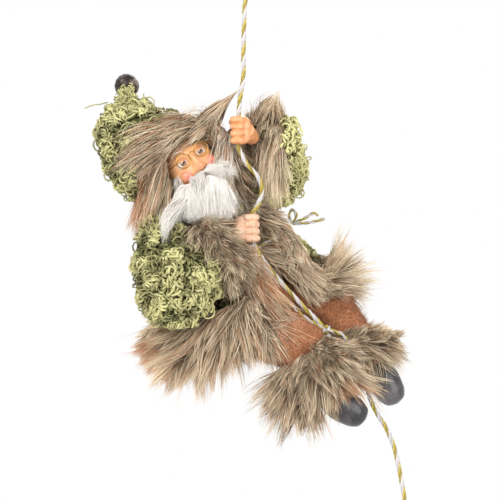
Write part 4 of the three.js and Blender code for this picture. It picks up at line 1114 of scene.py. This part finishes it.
def eye_finish(name, centre, gaze):
    """A painted eye: white, a brown iris with a dark rim, the pupil and a glint."""
    finish = Finish(name)
    place = finish.place()
    middle = centre + gaze * EYE_RADIUS
    far = finish.distance(place, middle)
    ring = finish.node("ShaderNodeMapRange", {}, {0: far, 1: 0.0, 2: 0.004, 3: 0.0, 4: 1.0})
    grain = finish.noise(900.0, 3.0, 0.7)
    tone = finish.ramp(ring + grain * 0.06, [
        (0.0, (0.006, 0.005, 0.004)), (0.25, (0.008, 0.006, 0.005)), (0.29, (0.16, 0.08, 0.03)),
        (0.52, (0.25, 0.14, 0.06)), (0.58, (0.03, 0.015, 0.008)), (0.62, (0.78, 0.74, 0.7)),
        (1.0, (0.85, 0.78, 0.74))])
    glint = spot(finish, place, middle + MM * (0.8 * HEAD_UP - 0.6 * HEAD_LEFT), 0.3, 0.55)
    tone = finish.mix(glint, tone, (1, 1, 1, 1))
    return finish.surface({"Base Color": tone, "Roughness": 0.15 + grain * 0.05, "Coat Weight": 0.6})


def studio(name, light):
    """White where the camera, a mirror or glass looks at it, and a softer light on the doll."""
    finish = Finish(name, "worlds")
    kinds = ("Camera", "Glossy", "Transmission")
    camera, mirror, glass = [finish.node("ShaderNodeLightPath", output=f"Is {kind} Ray") for kind in kinds]
    level = finish.node("ShaderNodeMapRange", {}, {0: camera.larger(mirror).larger(glass), 3: light, 4: 1.0})
    back = finish.node("ShaderNodeBackground", {}, {"Color": (1, 1, 1, 1), "Strength": level})
    finish.node("ShaderNodeOutputWorld", {}, {0: back})
    return finish.owner


# Pieces


def hood_front(place, out):
    """Where the hood's own trim reaches over its front, so that fur and not yarn grows there."""
    x, z = place[:, 0] / MM, place[:, 2] / MM
    top = np.interp(x, (-78, -72, -60, -50, -30), (-152, -141, -126, -121, -120))
    return (x > -77) & (z > -196) & (z < top) & (out[:, 1] < 0.35)


def coat_front(place, out):
    """Where the left front's trim spreads over the coat, down to its hem."""
    x, z = place[:, 0] / MM, place[:, 2] / MM
    top = np.interp(x, (4, 22, 34, 56), (-196, -203, -223, -227))
    return (x > 4) & (x < 56) & (z < top) & (z > -262) & (out[:, 1] < 0.3)


def thigh_top(place, out):
    """Where the right hem's hair reaches over the thigh beside it."""
    return (place[:, 0] < 0.018) & (place[:, 2] > -0.284) & (out[:, 1] < 0.1)


def cuff_side(place, out):
    """Where the upper sleeve's yarn reaches over the outer side of its cuff."""
    return (place[:, 0] > 0.026) & (place[:, 2] < -0.124)


# Where a trim's hair spreads over a neighbour
SPREADS = {
    "hood_trim": ("hood", hood_front), "left_front_trim": ("coat", coat_front),
    "right_hem_trim": ("right_thigh", thigh_top)}
# Curls in a pad of the curly cloth, and the pad's radius and height
PAD_CURLS, PAD_RADIUS, PAD_HEIGHT = 48, 0.0042, 0.0034


def second_finish(thing, material, chosen):
    """Another material on the faces that a test picks."""
    thing.data.materials.append(material)
    count = len(thing.data.polygons)
    middle, out = np.empty(count * 3), np.empty(count * 3)
    thing.data.polygons.foreach_get("center", middle)
    thing.data.polygons.foreach_get("normal", out)
    held = chosen(middle.reshape(-1, 3), out.reshape(-1, 3))
    thing.data.polygons.foreach_set("material_index", held.astype(np.int32))


def fur_trim(name):
    """A trim's pelt and its long hair, combed, in tufts and laid over what it meets."""
    trim = FUR_TRIMS[name]
    look = settings().fur
    rng = np.random.default_rng(100 + list(FUR_TRIMS).index(name))
    pelt = form_piece(
        name + "_pelt", [name], 0.0013, 8, -0.0012, made("pelt", pelt_finish), trim.body)
    over = neighbours("head")
    if name == "left_boot_cuff":
        points, _ = arrays(pelt)
        points[:, 2] -= np.clip(points[:, 2] + 0.28, 0, None) * 0.8
        move_points(pelt, points)
        over = neighbours("head", name) + [pelt]
    count = int(trim.count * look.density)
    place, out = scatter(pelt, count, rng)
    seen = uncovered(place, out, tree_of(neighbours(name)), 0.0012)
    if name == "left_sleeve_cuff":
        seen &= ~cuff_side(place, out)
        second_finish(pelt, made("yarn_ground", yarn_ground_finish), cuff_side)
    place, out = place[seen], out[seen]
    if name in SPREADS:
        node, chosen = SPREADS[name]
        place, out = with_more(place, out, node, count * 2, chosen, rng)
    way, length, tone = trim.comb(place, out)
    length = reach_of(name, place, way, length)
    under = rng.random(len(place)) < 0.3
    length = length * look.length * np.where(under, 0.5, rng.uniform(0.65, 1.06, len(place)))
    paths, nearest = strands(
        place, out, way, length, trim.lift, trim.bend, trim.clump, rng, jitter=trim.spread,
        sag=np.where(way[:, 2] < 0, trim.sag, 0)[:, None], wave=0.0008, ragged=trim.ragged)
    if name in TUFTS:
        base, tip = TUFTS[name]
        tuft = (way[:, 2] > 0.3) & (place[:, 2] > tip[2] - 0.033) & (np.abs(place[:, 0] - base[0]) < 0.012)
        paths[tuft] = pinch(paths[tuft], base, tip)
    paths = lay_over(paths, tree_of(over), 0.0022)
    clear = unblocked(paths)
    paths, nearest, tone, under = paths[clear], nearest[clear], tone[clear], under[clear]
    tuft_shade = rng.normal(0.36, 0.18, len(place))[nearest]
    shade = tuft_shade + tone + rng.normal(0, 0.13, len(paths)) - under * 0.15
    russet = rng.random(len(paths)) < np.where(tone >= RUSSET, 0.75, trim.warm)
    pale = (tone >= PALE) & (tone < RUSSET) & (rng.random(len(paths)) < 0.6)
    shade = np.where(pale, PALE_SHADE, np.clip(shade, 0, PLAIN_SHADE))
    shade = np.where(russet, rng.uniform(RUSSET_SHADE, TOP_SHADE, len(paths)), shade)
    widths = look.width * rng.uniform(0.55, 1.25, len(paths))
    hair = ribbons(name + "_hair", paths, widths, cells(shade), rng)
    finish_piece(hair, made("fur", fur_finish), trim.body)


def curly_cloth(node, body, count, seed, voxel):
    """Cloth of curly yarn: a lumpy ground under curls that gather in small pads."""
    look = settings().yarn
    rng = np.random.default_rng(seed)
    ground = form_piece(
        node + "_ground", [node], voxel, 6, -0.0006, made("yarn_ground", yarn_ground_finish), body)
    if node == "hood":
        points, _ = arrays(ground)
        full = np.interp(points[:, 0], (-0.094, -0.076), (1, 0)) * (points[:, 2] < -0.112)
        move_points(ground, points + full[:, None] * vec(-4.0, -0.5, 0.5) * MM)
    place, out = scatter(ground, int(count * look.density), rng)
    seen = uncovered(place, out, tree_of(neighbours(node)), 0.0025)
    for under, chosen in SPREADS.values():
        if node == under:
            seen &= ~chosen(place, out)
            second_finish(ground, made("pelt", pelt_finish), chosen)
    if node == "hood":
        seen &= ((place - vec(-62, 16, -156) * MM) * out).sum(axis=1) > 0
    if node == "coat":
        seen &= (place[:, 0] < 0.012) | (place[:, 2] > -0.222) | (place[:, 1] > 0.045)
    place, out = place[seen], out[seen]
    if node == "left_sleeve":
        place, out = with_more(place, out, "left_sleeve_cuff", count // 2, cuff_side, rng)
    middles = place[rng.choice(len(place), max(3, len(place) // PAD_CURLS), replace=False)]
    pad, far = nearest_of(middles, place)
    lump = np.exp(-(far / PAD_RADIUS) ** 2)
    kept = rng.random(len(place)) < 0.35 + 0.65 * lump
    place, out, pad, lump = place[kept], out[kept], pad[kept], lump[kept]
    place = place + out * (lump * PAD_HEIGHT)[:, None]
    loose = rng.random(len(place)) < 0.07
    radius = look.curl * rng.uniform(0.6, 1.4, len(place)) * np.where(loose, 1.5, 1.0)
    paths = curls(
        place, out, radius, rng.uniform(0.0006, 0.0028, len(place)), rng.uniform(0.7, 1.7, len(place)), rng)
    clear = unblocked(paths)
    pad_shade = rng.normal(0.42, 0.16, len(middles))[pad]
    # Painted light and shade: curls on top of a pad are lighter, and those in the hollows between pads darker
    shade = pad_shade + lump * 0.9 - 0.36 + loose * 0.3 + rng.normal(0, 0.08, len(place))
    # Painted light: the left sleeve's yarn is lighter and the right sleeve's darker, as lit and shaded copies
    # of one yarn
    shade += {"left_sleeve": 0.85, "right_sleeve": -0.1}.get(node, 0)
    thick = look.thickness / 2 * rng.uniform(0.7, 1.25, len(place)) * np.where(loose, 0.8, 1.0)
    shade = cells(np.clip(shade[clear], 0, TOP_SHADE))
    piece = tubes(node + "_curls", paths[clear], thick[clear], shade, sides=3)
    finish_piece(piece, made("yarn", yarn_finish), body)


def face_mesh():
    """The face and skull, as a dense shell with a brow, a nose, cheeks, lips and a chin."""
    across, down = 120, 84
    turn = np.linspace(-np.pi, np.pi, across, endpoint=False)
    rise = np.linspace(-np.pi / 2 + 0.02, np.pi / 2 - 0.02, down)
    turn, rise = np.meshgrid(turn, rise)
    side, up = np.sin(turn) * np.cos(rise) * HEAD_SIZE[0], np.sin(rise) * HEAD_SIZE[2]
    out = np.cos(turn) * np.cos(rise) * HEAD_SIZE[1]
    front = np.clip(np.cos(turn) * 1.3, 0, 1)

    def hill(x, y, wide, high, tall):
        return tall * np.exp(-((side - x) / wide) ** 2 - ((up - y) / high) ** 2) * front

    extra = (hill(0, 2.5, 2.3, 5.5, 3.0) + hill(0, -3.4, 3.4, 3.0, 5.6) + hill(-2.9, -4.2, 1.7, 1.6, 1.6)
             + hill(2.9, -4.2, 1.7, 1.6, 1.6) + hill(0, 14, 12, 5, 0.7) + hill(0, -17.5, 6, 4, 2.2)
             + hill(0, -10.2, 4.2, 0.9, 0.9) + hill(0, -12.3, 3.6, 1.1, 1.3) - hill(0, -11.2, 4.0, 0.5, 0.7))
    for hand in (-1, 1):
        extra += (hill(hand * 9.8, -4.5, 4.6, 4.2, 2.0) + hill(hand * 7.6, 10.6, 4.8, 1.7, 1.3)
                  - hill(hand * 7.6, 5, 3.9, 3.3, 2.4) - hill(hand * 5.4, -8.0, 1.2, 3.2, 0.5))
    points = (HEAD + MM * (side[..., None] * HEAD_LEFT + (out + extra)[..., None] * HEAD_FRONT
                           + up[..., None] * HEAD_UP)).reshape(-1, 3)
    low = np.arange(across)[None, ::-1]
    high = (down - 1) * across + np.arange(across)[None, :]
    return points, [round_quads(down, across), low, high]


def shell(centre, radius, aim, spread, rings=14, around=40):
    """Part of a ball about an aim, as an eyelid or a whole eye is."""
    aim = unit(aim)
    sideways = unit(np.cross(HEAD_UP, aim))
    upward = np.cross(aim, sideways)
    tilt = np.linspace(0, spread, rings)[:, None]
    turn = np.linspace(0, 2 * np.pi, around, endpoint=False)[None, :]
    points = centre + radius * (
        np.cos(tilt)[..., None] * aim + (np.sin(tilt) * np.cos(turn))[..., None] * sideways
        + (np.sin(tilt) * np.sin(turn))[..., None] * upward)
    return points.reshape(-1, 3), round_quads(rings, around)[:, [0, 3, 2, 1]]


def beard_comb(place):
    """The beard's way and length, and which of it is drawn to the point below."""
    across = (place - HEAD) @ HEAD_LEFT / MM
    way = unit(toward(place, 0.03, -0.1, -1) + HEAD_LEFT * (np.clip(across, 0, 99) / 130)[:, None])
    length = np.interp(place[:, 2], (-0.2, -0.165), (0.012, 0.035)) * np.interp(across, (-15, -8), (1.3, 1.0))
    floor = np.interp(place[:, 0], (-0.06, -0.055, -0.047, -0.03), (-0.203, -0.21, -0.198, -0.195))
    length = np.clip(length, 0.004, np.maximum(place[:, 2] - floor, 0.004))
    tail = (place[:, 0] < -0.041) & (place[:, 2] < -0.18)
    down = vec(-56.5, -34, -207) * MM - place[tail]
    way[tail], length[tail] = unit(down), np.linalg.norm(down, axis=1)
    return way, length, tail


def moustache_comb(place):
    """The moustache's way and length: outwards and down from the middle."""
    hand = ((place - HEAD) @ HEAD_LEFT)[:, None]
    way = unit(np.sign(hand) * HEAD_LEFT * 0.8 - HEAD_UP * (0.4 + np.abs(hand) * 90) + HEAD_FRONT * 0.2)
    return way, np.full(len(place), 0.014), np.zeros(len(place), dtype=bool)


# What the camera looks at, how far away it stands and how wide it sees, and the floor's height
VIEW_MIDDLE, VIEW_AWAY, VIEW_WIDTH, FLOOR = Vector((0.00213, 0, -0.2175)), 1.6, 0.355, -0.47


class DOLL_OT_stage(bpy.types.Operator):
    """Camera, soft lamps, a pale floor and the white behind the doll"""
    bl_idname = "doll.stage"
    bl_label = "Stage"

    def execute(self, context):
        look = settings().stage
        scene = context.scene
        scene.view_settings.view_transform = "Standard"
        data = bpy.data.cameras.new("view")
        camera = bpy.data.objects.new("view", data)
        scene.collection.objects.link(camera)
        camera.location = VIEW_MIDDLE + Vector((0, -VIEW_AWAY, 0))
        camera.rotation_euler = (math.radians(90), 0, 0)
        data.lens = data.sensor_width * VIEW_AWAY / VIEW_WIDTH
        data.clip_start = 0.05
        scene.camera = camera
        for name, place, size, power in (
                ("key", (-0.55, -0.9, 0.35), 0.9, 13.0), ("fill", (0.8, -0.8, -0.1), 0.9, 7.5),
                ("rim", (0.2, 0.8, 0.4), 0.8, 7.0)):
            lamp = bpy.data.lights.new(name, "AREA")
            lamp.shape = "DISK"
            lamp.size = size
            lamp.energy = power * look.light
            thing = bpy.data.objects.new(name, lamp)
            thing.location = place
            thing.rotation_euler = (VIEW_MIDDLE - thing.location).to_track_quat("-Z", "Y").to_euler()
            scene.collection.objects.link(thing)
        scene.world = studio("studio", 0.55 * look.light)
        x, y = np.meshgrid(np.linspace(-0.5, 0.5, 21), np.linspace(-0.5, 0.5, 21))
        points = np.stack([x, y, np.full_like(x, FLOOR)], axis=2).reshape(-1, 3)
        first = (np.arange(20)[:, None] * 21 + np.arange(20)).reshape(-1, 1)
        floor = mesh_object("floor", points, [first + np.array([0, 1, 22, 21])])
        finish = Finish("floor_paint")
        tone = finish.ramp(finish.noise(6.0), [(0.3, deeper(look.floor, 0.97)), (0.7, look.floor)])
        floor.data.materials.append(finish.surface({"Base Color": tone, "Roughness": 0.9}))
        return {"FINISHED"}


class DOLL_OT_cord(bpy.types.Operator):
    """The climbing cord of white and gold threads, its hanging loop and its two knots"""
    bl_idname = "doll.cord"
    bl_label = "Cord"

    def execute(self, context):
        look = settings().cord
        radius, shades = look.thickness / 2, (8, 20, 44, 58)
        route, ring = smooth_route(CORD_ROUTE, CORD_STEP), smooth_route(LOOP_ROUTE, CORD_STEP)
        cord = twisted("cord_threads", route, radius, look.pitch, shades, "climbing_cord")
        loop = twisted("loop_threads", ring, radius, look.pitch, shades, "hanging_loop")
        for name, centre, axis in (
                ("loop_knot", route[0] + vec(0, 0, 1.5) * MM, (0, 0, 1)),
                ("end_knot", route[-1], route[-1] - route[-3])):
            path = knot_route(centre, axis, 0.00095)
            twisted(name + "_threads", path, radius, KNOT_PITCH, shades, name)
        return {"FINISHED"}


class DOLL_OT_ties(bpy.types.Operator):
    """The strand that ties the doll to the cord, and the cord round its waist with its bow"""
    bl_idname = "doll.ties"
    bl_label = "Ties"

    def execute(self, context):
        shades = (10, 50)
        tie, waist = middle_of("tie_knot"), middle_of("waist_knot")
        for name, path, radius, pitch in (
                ("tie_strand", smooth_route(in_mm(TIE_ROUTE), TIE_STEP), 0.0017, 0.013),
                ("tie_tail", smooth_route(in_mm(TAIL_ROUTE), TIE_STEP), 0.0015, KNOT_PITCH),
                ("tie_knot", knot_route(tie, (0.62, 0, -0.78), 0.00115), 0.0016, KNOT_PITCH),
                ("waist_cord", smooth_route(waist_ring(), 0.0011, closed=True), 0.0013, KNOT_PITCH),
                ("waist_knot", knot_route(waist, (0.3, -0.8, 0.5), 0.0009), 0.0012, 0.01)):
            twisted(name + "_threads", path, radius, pitch, shades, name)
        hub = waist + 0.006 * vec(0.75, 0, 0.66)
        for name, shares in (
                ("bow_loop", [(0, 0, 0), (-0.15, 0.06, 0.4), (0, 0.06, 0.62), (0.15, 0, 0.4), (0.04, 0, 0)]),
                ("bow_tail", [(0, 0, 0), (0.5, -0.12, 0.24), (0.95, -0.18, 0.47), (1.1, -0.18, 0.35)]),
                ("bow_end", [(0, 0, 0), (0.5, 0.06, 0.04), (1, 0.12, 0.12), (1.4, 0.12, 0.25)])):
            path = smooth_route([hub + 0.017 * vec(*share) for share in shares], TIE_STEP)
            twisted(name + "_threads", path, 0.0013, KNOT_PITCH, shades, "waist_bow")
        return {"FINISHED"}


class DOLL_OT_inside(bpy.types.Operator):
    """The lining, the body, the hood's filling, the roll under its trim, and the wires inside"""
    bl_idname = "doll.inside"
    bl_label = "Inside"

    def execute(self, context):
        for name, node, body, slot, finish, voxel in (
                ("lining_cloth", "coat_lining", "trunk", "lining", ("lining_cloth", lining_finish), 0.001),
                ("torso_form", "torso", "trunk", "felt", ("felt_cloth", felt_finish), 0.0016),
                ("hood_filling_form", "hood_filling", "head_and_hood", "stuffing",
                 ("wool_stuffing", stuffing_finish), 0.0015)):
            form_piece(name, [node], voxel, 4, 0.0, made(*finish), body)
        roll = [(-27, 15, -134), (-24.5, 14, -142), (-23.5, 13, -150), (-25, 11, -159)]
        arc = smooth_route(in_mm(roll), 0.001)
        welt = tubes("hood_trim_welt", arc[None], np.full(1, 0.0034), np.zeros(1), sides=14)
        finish_piece(welt, made("pelt", pelt_finish), "head_and_hood")
        for name, thing in NODES.items():
            if name.endswith("_wire") or name == "bell_pellet":
                thing.data.materials.clear()
                thing.data.materials.append(made("steel", wire_finish))
        return {"FINISHED"}


class DOLL_OT_face(bpy.types.Operator):
    """The painted face, its eyes, eyelids and brows, and the neck"""
    bl_idname = "doll.face"
    bl_label = "Face"

    def execute(self, context):
        skin = made("face_paint", face_finish)
        points, faces = face_mesh()
        parts, groups, shift = [points], list(faces), len(points)
        upper, lower = 1.15 * HEAD_UP + 0.75 * HEAD_FRONT, -1.25 * HEAD_UP + 0.55 * HEAD_FRONT
        for centre in EYES:
            for aim, spread in ((upper, 0.76), (lower, 0.8)):
                lid, quads = shell(centre, LID_RADIUS, aim, spread)
                parts.append(lid)
                groups.append(quads + shift)
                shift += len(lid)
        face = mesh_object("face", np.concatenate(parts), groups)
        finish_piece(face, skin, "head_and_hood", ["head"])
        neck = soft_form("neck", ["head"], 0.0012, 5, -0.0012)
        finish_piece(neck, skin, "head_and_hood")
        gaze = unit(HEAD_FRONT + 0.05 * HEAD_UP)
        for centre, name in zip(EYES, ("right_eye", "left_eye")):
            ball, quads = shell(centre, EYE_RADIUS, gaze, math.pi - 0.05, rings=28)
            eye = mesh_object(name, ball, [quads])
            finish_piece(eye, eye_finish(name + "_paint", centre, gaze), "head_and_hood")
        rng = np.random.default_rng(7)
        brows = []
        for hand in (-1, 1):
            along = rng.random(60)
            place = np.array([
                on_head(hand * (3.6 + 8.0 * s), 20.8 - 3.2 * s ** 2, 12.2 + 1.6 * math.sin(s * 2.6))
                for s in along])
            way = unit(hand * HEAD_LEFT * 0.9 + HEAD_UP * (0.55 - along[:, None] * 0.9) + HEAD_FRONT * 0.3)
            front = np.broadcast_to(HEAD_FRONT, place.shape)
            paths, _ = strands(place, front, way, np.full(len(place), 0.003), 0.2, 0.5, 0.3, rng)
            brows.append(paths)
        hair = fine_hair("brows", np.concatenate(brows), rng)
        finish_piece(hair, made("beard_hair", beard_finish), "head_and_hood")
        return {"FINISHED"}


class DOLL_OT_spectacles(bpy.types.Operator):
    """Two thin brass rims, their bridge and their temples"""
    bl_idname = "doll.spectacles"
    bl_label = "Spectacles"

    def execute(self, context):
        temple = ((12.9, 23.6, 7), (17, 19.5, 7.1), (19.2, 15.7, 7), (20.6, 2, 6))
        bridge = ((-2.6, 23.8, 7), (-1.4, 24.5, 8), (0, 24.7, 8.3), (1.4, 24.5, 8), (2.6, 23.8, 7))
        bars = []
        for hand in (-1, 1):
            bars.append(np.array([
                on_head(hand * 7.75 + 5.2 * math.cos(a), 23.8, 6 + 5.2 * math.sin(a))
                for a in np.linspace(0, 2 * np.pi, 49)]))
            path = [on_head(hand * side, out, up) for side, out, up in temple]
            bars.append(smooth_route(path, 0.0006)[:48])
        bars.append(smooth_route([on_head(*at) for at in bridge], 0.0003))
        for index, bar in enumerate(bars):
            piece = tubes(f"spectacle_wire_{index}", bar[None], 0.0004, np.array([30]), sides=10, taper=False)
            finish_piece(piece, made("brass", brass_finish), "head_and_hood", ["spectacles"])
        return {"FINISHED"}


class DOLL_OT_beard(bpy.types.Operator):
    """The long white beard and the moustache"""
    bl_idname = "doll.beard"
    bl_label = "Beard"

    def execute(self, context):
        white, ground = made("beard_hair", beard_finish), made("beard_ground", beard_ground_finish)
        rng = np.random.default_rng(21)
        cheeks, cheeks_out = scatter(bpy.data.objects["face"], 14000, rng)
        side, up, ahead = [(cheeks - HEAD) @ way / MM for way in (HEAD_LEFT, HEAD_UP, HEAD_FRONT)]
        below = (up < -8.5) & ((np.abs(side) > 5.5) | (up < -14.5))
        beside = (np.abs(side) > 14.5) & (up < 1 - 4 * (side > 0))
        bearded = (ahead > 2) & (below | beside)
        for name, count, width, comb, lift, clump, sway, under in (
                ("beard", 15000, 0.00032, beard_comb, 0.25, 0.2, 0.0016,
                 ("right_sleeve", "right_sleeve_cuff")),
                ("moustache", 5000, 0.00028, moustache_comb, 0.4, 0.15, 0.0008, ())):
            form = form_piece(
                name + "_form", [name], 0.0009, 8, -0.0014, ground, "head_and_hood")
            place, out = scatter(form, count, rng)
            if name == "beard":
                place = np.concatenate([place, cheeks[bearded]])
                out = np.concatenate([out, cheeks_out[bearded]])
            way, length, tail = comb(place)
            length = length * rng.uniform(0.7, 1.15, len(place))
            paths, nearest = strands(
                place, out, way, length, lift, 0.6, clump, rng, jitter=0.16, group=22, wave=sway, rings=7,
                ragged=0.15)
            paths = lay_over(paths, tree_of([form, *[NODES[node] for node in under]]), 0.0015)
            if name == "beard":
                fall = np.clip((-0.186 - paths[tail][..., 2]) / 0.018, 0, 1)
                paths[tail, :, 0] += (-0.0575 - paths[tail][..., 0]) * fall * 0.6
                edge = -0.061 + rng.uniform(-0.001, 0.002, (len(paths), 1))
                paths[..., 0] = np.maximum(paths[..., 0], edge)
            shade = rng.uniform(0.4, 0.8, len(place))[nearest] + rng.normal(0, 0.15, len(place))
            widths = width * rng.uniform(0.6, 1.2, len(paths))
            hair = ribbons(name + "_hair", paths, widths, cells(np.clip(shade, 0, TOP_SHADE)), rng)
            finish_piece(hair, white, "head_and_hood")
        return {"FINISHED"}


class DOLL_OT_hands(bpy.types.Operator):
    """The two closed hands"""
    bl_idname = "doll.hands"
    bl_label = "Hands"

    def execute(self, context):
        for side in ("right", "left"):
            skin = hand_finish(f"{side}_hand_paint")
            form_piece(
                f"{side}_hand_form", [f"{side}_hand"], 0.0005, 5, 0.0001, skin, f"{side}_arm")
        return {"FINISHED"}


class DOLL_OT_trousers(bpy.types.Operator):
    """The felt trousers, each leg in one piece, bent at the knee"""
    bl_idname = "doll.trousers"
    bl_label = "Trousers"

    def execute(self, context):
        felt, fuzz = made("felt_cloth", felt_finish), made("fuzz", fuzz_finish)
        form_piece("trouser_seat_felt", ["trouser_seat"], 0.0015, 6, -0.0003, felt, "trunk")
        for index, (side, hip, knee, ankle, count, longest) in enumerate((
                ("right", (7.3, 18.6, -270.8), (31, -14.5, -282), (58, -15.5, -321), 12000, 0.0046),
                ("left", (27.8, 39.8, -252.9), (62, 30, -258.5), (92, 17, -301), 17000, 0.006))):
            start, end = [(vec(*knee) + unit(vec(*other) - vec(*knee)) * 7) * MM for other in (hip, ankle)]
            solids = [f"{side}_thigh", f"{side}_shin"]
            leg = soft_form(f"{side}_leg_felt", solids, 0.0014, 36, 0.0003)
            if side == "right":
                points, _ = arrays(leg)
                near = np.exp(-((points[:, 0] - 0.047) / 0.006) ** 2 - ((points[:, 2] + 0.277) / 0.006) ** 2)
                move_points(leg, points + near[:, None] * vec(5, 0, 1.5) * MM)
            rng = np.random.default_rng(60 + index)
            place, out = scatter(leg, count, rng)
            way, length = unit(rng.normal(size=place.shape)), rng.uniform(0.0014, longest, len(place))
            stray = (rng.random(len(place)) < 0.03 * index) & (out[:, 1] < 0.2) & (place[:, 2] > -0.262)
            way[stray], length[stray] = unit(vec(0.7, -0.5, -0.5)), 0.014
            paths, _ = strands(place, out, way, length, 0.5, 0.8, 0.2, rng, rings=4, jitter=0.5)
            nap = fine_hair(f"{side}_leg_fuzz", paths, rng)
            finish_piece(leg, felt, None, solids)
            finish_piece(nap, fuzz, None)
            for piece in (leg, nap):
                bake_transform(piece)
        return {"FINISHED"}


class DOLL_OT_boots(bpy.types.Operator):
    """The two dark glossy boots"""
    bl_idname = "doll.boots"
    bl_label = "Boots"

    def execute(self, context):
        for side in ("right", "left"):
            dark = made("boot_paint", boot_finish)
            form_piece(
                f"{side}_boot_form", [f"{side}_boot"], 0.0008, 40, 0.0008, dark, f"{side}_lower_leg")
        return {"FINISHED"}


class DOLL_OT_bell(bpy.types.Operator):
    """The dark slotted bell at the hood's tip, the loop that holds it and the yarn beside it"""
    bl_idname = "doll.bell"
    bl_label = "Bell"

    def execute(self, context):
        form_piece(
            "bell_form", ["bell_shell"], 0.00035, 3, 0.0, made("bell_bronze", bell_finish), "bell")
        rng = np.random.default_rng(51)
        sides = ((-93, -79), (-0.6, 1.4), (-118, -102))
        x, y, z = [rng.uniform(low, high, 170) for low, high in sides]
        held = (z < -108) | (np.abs(x + 85.5) < 5.5 - (z + 108) * 0.5)
        place = np.stack([x, y, z], axis=1)[held] * MM
        count = len(place)
        ranges = ((0.0012, 0.0022), (0.0006, 0.002), (0.7, 1.8))
        sizes = [rng.uniform(low, high, count) for low, high in ranges]
        paths = curls(place, toward(place, 0, -1, 0.2), *sizes, rng)
        stray = in_mm([(-99, 6, -112), (-104, 4, -113.5), (-110, 2, -114.5), (-115.6, 1, -117)])
        for name, lines in (("bell_tuft", paths), ("stray_yarn", smooth_route(stray, 0.001)[None])):
            tuft = tubes(name, lines, 0.00055, cells(rng.uniform(0.3, 0.85, len(lines))), sides=3)
            finish_piece(tuft, made("yarn", yarn_finish), "head_and_hood")
        turn = np.linspace(0, 2 * np.pi, 33)[:, None]
        ring = middle_of("bell_ring") + 0.0026 * (np.cos(turn) * vec(0, 1, 0) + np.sin(turn) * vec(0, 0, 1))
        twisted("bell_loop_threads", ring, 0.00065, 0.006, (12, 24), "bell_ring", "head_and_hood")
        return {"FINISHED"}


class DOLL_OT_curly_cloth(bpy.types.Operator):
    """The coat, both sleeves and the pointed hood, in curly yarn"""
    bl_idname = "doll.curly_cloth"
    bl_label = "Curly cloth"

    def execute(self, context):
        for node, body, count, seed, voxel in (
                ("right_sleeve", "right_arm", 6200, 31, 0.0018),
                ("left_sleeve", "left_arm", 6200, 32, 0.0018),
                ("coat", "trunk", 7500, 33, 0.0012),
                ("hood", "head_and_hood", 8500, 34, 0.0012)):
            curly_cloth(node, body, count, seed, voxel)
        return {"FINISHED"}


class DOLL_OT_fur(bpy.types.Operator):
    """The long-haired trims of the hood, the sleeves, the coat and the boots"""
    bl_idname = "doll.fur"
    bl_label = "Fur trims"

    def execute(self, context):
        for name in FUR_TRIMS:
            fur_trim(name)
        return {"FINISHED"}


STEPS = (
    DOLL_OT_stage, DOLL_OT_cord, DOLL_OT_ties, DOLL_OT_inside, DOLL_OT_face, DOLL_OT_spectacles,
    DOLL_OT_beard, DOLL_OT_hands, DOLL_OT_trousers, DOLL_OT_boots, DOLL_OT_bell, DOLL_OT_curly_cloth,
    DOLL_OT_fur)


class DOLL_PT_pieces(bpy.types.Panel):
    bl_label = "Climbing doll"
    bl_idname = "DOLL_PT_pieces"
    bl_space_type = "VIEW_3D"
    bl_region_type = "UI"
    bl_category = "Doll"

    def draw(self, context):
        for step in STEPS:
            self.layout.operator(step.bl_idname)
        for group in (settings().cord, settings().fur, settings().yarn, settings().body, settings().stage):
            box = self.layout.box()
            for name in group.__annotations__:
                box.prop(group, name)


CLASSES = (
    DollCordSettings, DollFurSettings, DollYarnSettings, DollBodySettings, DollStageSettings, DollSettings,
    *STEPS, DOLL_PT_pieces)


def register():
    for item in CLASSES:
        bpy.utils.register_class(item)
    bpy.types.Scene.doll = group_of(DollSettings, "Doll", "Sizes and colours of the doll")


def unregister():
    del bpy.types.Scene.doll
    for item in reversed(CLASSES):
        bpy.utils.unregister_class(item)


def main():
    register()
    for step in STEPS:
        operator = getattr(bpy.ops.doll, step.bl_idname.split(".")[1])
        operator()


if __name__ == "__main__":
    main()
